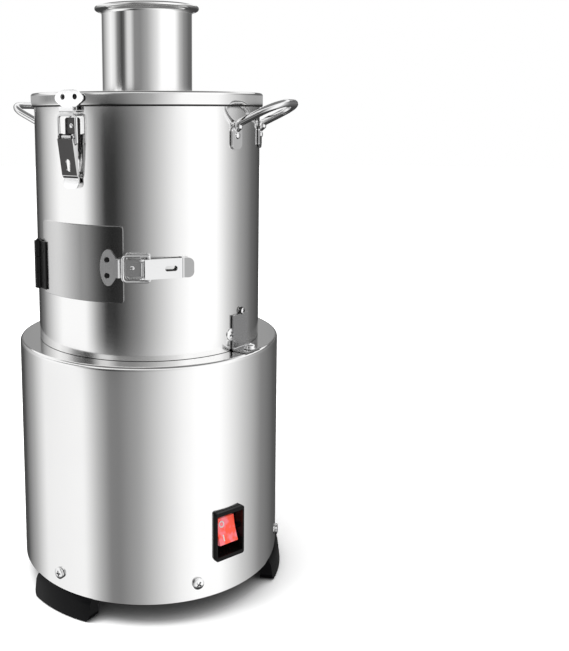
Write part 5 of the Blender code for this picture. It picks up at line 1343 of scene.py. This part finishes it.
def board_paper():
    paper = bpy.data.materials.new("board_paper")
    tree = cleared_tree(paper)
    place = add(tree, "ShaderNodeTexCoord").outputs["Object"]
    spot = add(tree, "ShaderNodeSeparateXYZ", place).outputs
    azimuth = maths(tree, "ARCTAN2", spot["X"], maths(tree, "MULTIPLY", spot["Y"], -1))
    share = spread(tree, azimuth, 0, 1, -math.pi, math.pi)
    rows = {name: [((turn + 180) / 360, level) for turn, level in row] for name, row in BOARDS.items()}
    level = level_ramp(tree, share, rows["ground"])
    for name, (low, high) in ROW_HEIGHTS.items():
        height = spread(tree, spot["Z"], 0, 1, low, high)
        level = blend_colours(tree, height, level, level_ramp(tree, share, rows[name]))
    sideways = add(tree, "ShaderNodeVectorMath", place, (1, 1, 0), operation="MULTIPLY").outputs[0]
    reach = add(tree, "ShaderNodeVectorMath", sideways, operation="LENGTH").outputs["Value"]
    roof = spread(tree, reach, 0.20, 1.0, 0.60, 0.85)
    level = blend_colours(tree, spread(tree, spot["Z"], 0, 1, 0.985, 0.995), level, roof)
    glow = add(tree, "ShaderNodeEmission", Color=level, Strength=1)
    add(tree, "ShaderNodeOutputMaterial", Surface=glow.outputs[0])
    return paper


drum_of_paper = rod(WALL_RADIUS, WALL_LOW, WALL_HIGH, 96)
drum_of_paper.materials.append(board_paper())
paper_wall = holder(drum_of_paper)
paper_wall.name = "paper_wall"
paper_wall.rotation_euler.z = math.radians(VIEW_AZIMUTH)
for ray in ("camera", "diffuse", "transmission", "volume_scatter", "shadow"):
    setattr(paper_wall, f"visible_{ray}", False)
print("The paper wall is", 2 * WALL_RADIUS, "m across")

# %% [markdown]
# The floor is plain white and catches a soft shadow. The camera sees it whiter than it lights the machine, so
# that it meets the white background without a line. Where something stands close above it, its paint is
# darker, which deepens the shadow in the gap under the drum. The steel sees the paper wall below the floor's
# level instead, so the floor stays out of reflections.


# %% Floor
CLOSENESS = ((0.06, 0.13), (0.24, 0.42), (0.48, 0.82), (0.8, 0.97), (1.0, 1.0))
SEEN_LEVEL, LIT_LEVEL = 1.42, 0.80


def floor_paint():
    paint = bpy.data.materials.new("floor_paint")
    tree = cleared_tree(paint)
    open_share = add(tree, "ShaderNodeAmbientOcclusion", samples=12, Distance=0.22).outputs["AO"]
    level = level_ramp(tree, open_share, CLOSENESS)
    seen = add(tree, "ShaderNodeVectorMath", level, operation="SCALE", Scale=SEEN_LEVEL).outputs[0]
    colour = blend_colours(tree, seeing_ray(tree), (LIT_LEVEL, LIT_LEVEL, LIT_LEVEL), seen)
    matt = add(tree, "ShaderNodeBsdfDiffuse", Color=colour)
    add(tree, "ShaderNodeOutputMaterial", Surface=matt.outputs[0])
    return paint


floor_shape = sheet([circle(6, steps=96)], -0.02, 0)
floor_shape.materials.append(floor_paint())
floor = holder(floor_shape)
floor.name = "floor"
floor.visible_glossy = False
print("The floor's paint:", floor_shape.materials[0].name)

# %% [markdown]
# The room is white all round, and brighter above than at the sides. Rays that see it find plain white, and
# matt surfaces are lit from the sides at a little below half of that.

# %% White room
WHITE = (1, 1, 1, 1)
world = bpy.data.worlds.new("white_room")
bpy.context.scene.world = world
tree = cleared_tree(world)
strength = spread(tree, axes(tree, "Generated")["Z"], 0.45, 1.0, 0, 0.7)
ambient = add(tree, "ShaderNodeBackground", Color=WHITE, Strength=strength).outputs[0]
backdrop = add(tree, "ShaderNodeBackground", Color=WHITE, Strength=1).outputs[0]
mixed = add(tree, "ShaderNodeMixShader", seeing_ray(tree), ambient, backdrop)
add(tree, "ShaderNodeOutputWorld", Surface=mixed.outputs[0])
print("The room has", len(tree.nodes), "nodes")

# %% [markdown]
# One wide lamp above and to the left adds the direction that makes the shadow. Steel doesn't see it.

# %% Lamp
lamp_data = bpy.data.lights.new("soft_lamp", "AREA")
lamp_data.shape = "DISK"
lamp_data.size = 1.2
lamp_data.energy = 22
lamp = bpy.data.objects.new("soft_lamp", lamp_data)
lamp.location = (-0.7, -0.9, 1.9)
lamp.rotation_euler = (Vector((0, 0, 0.2)) - lamp.location).to_track_quat("-Z", "Y").to_euler()
lamp.visible_glossy = False
bpy.context.scene.collection.objects.link(lamp)
bpy.context.scene.view_settings.view_transform = "Standard"
print("The lamp is", round(lamp.location.length, 2), "m away")
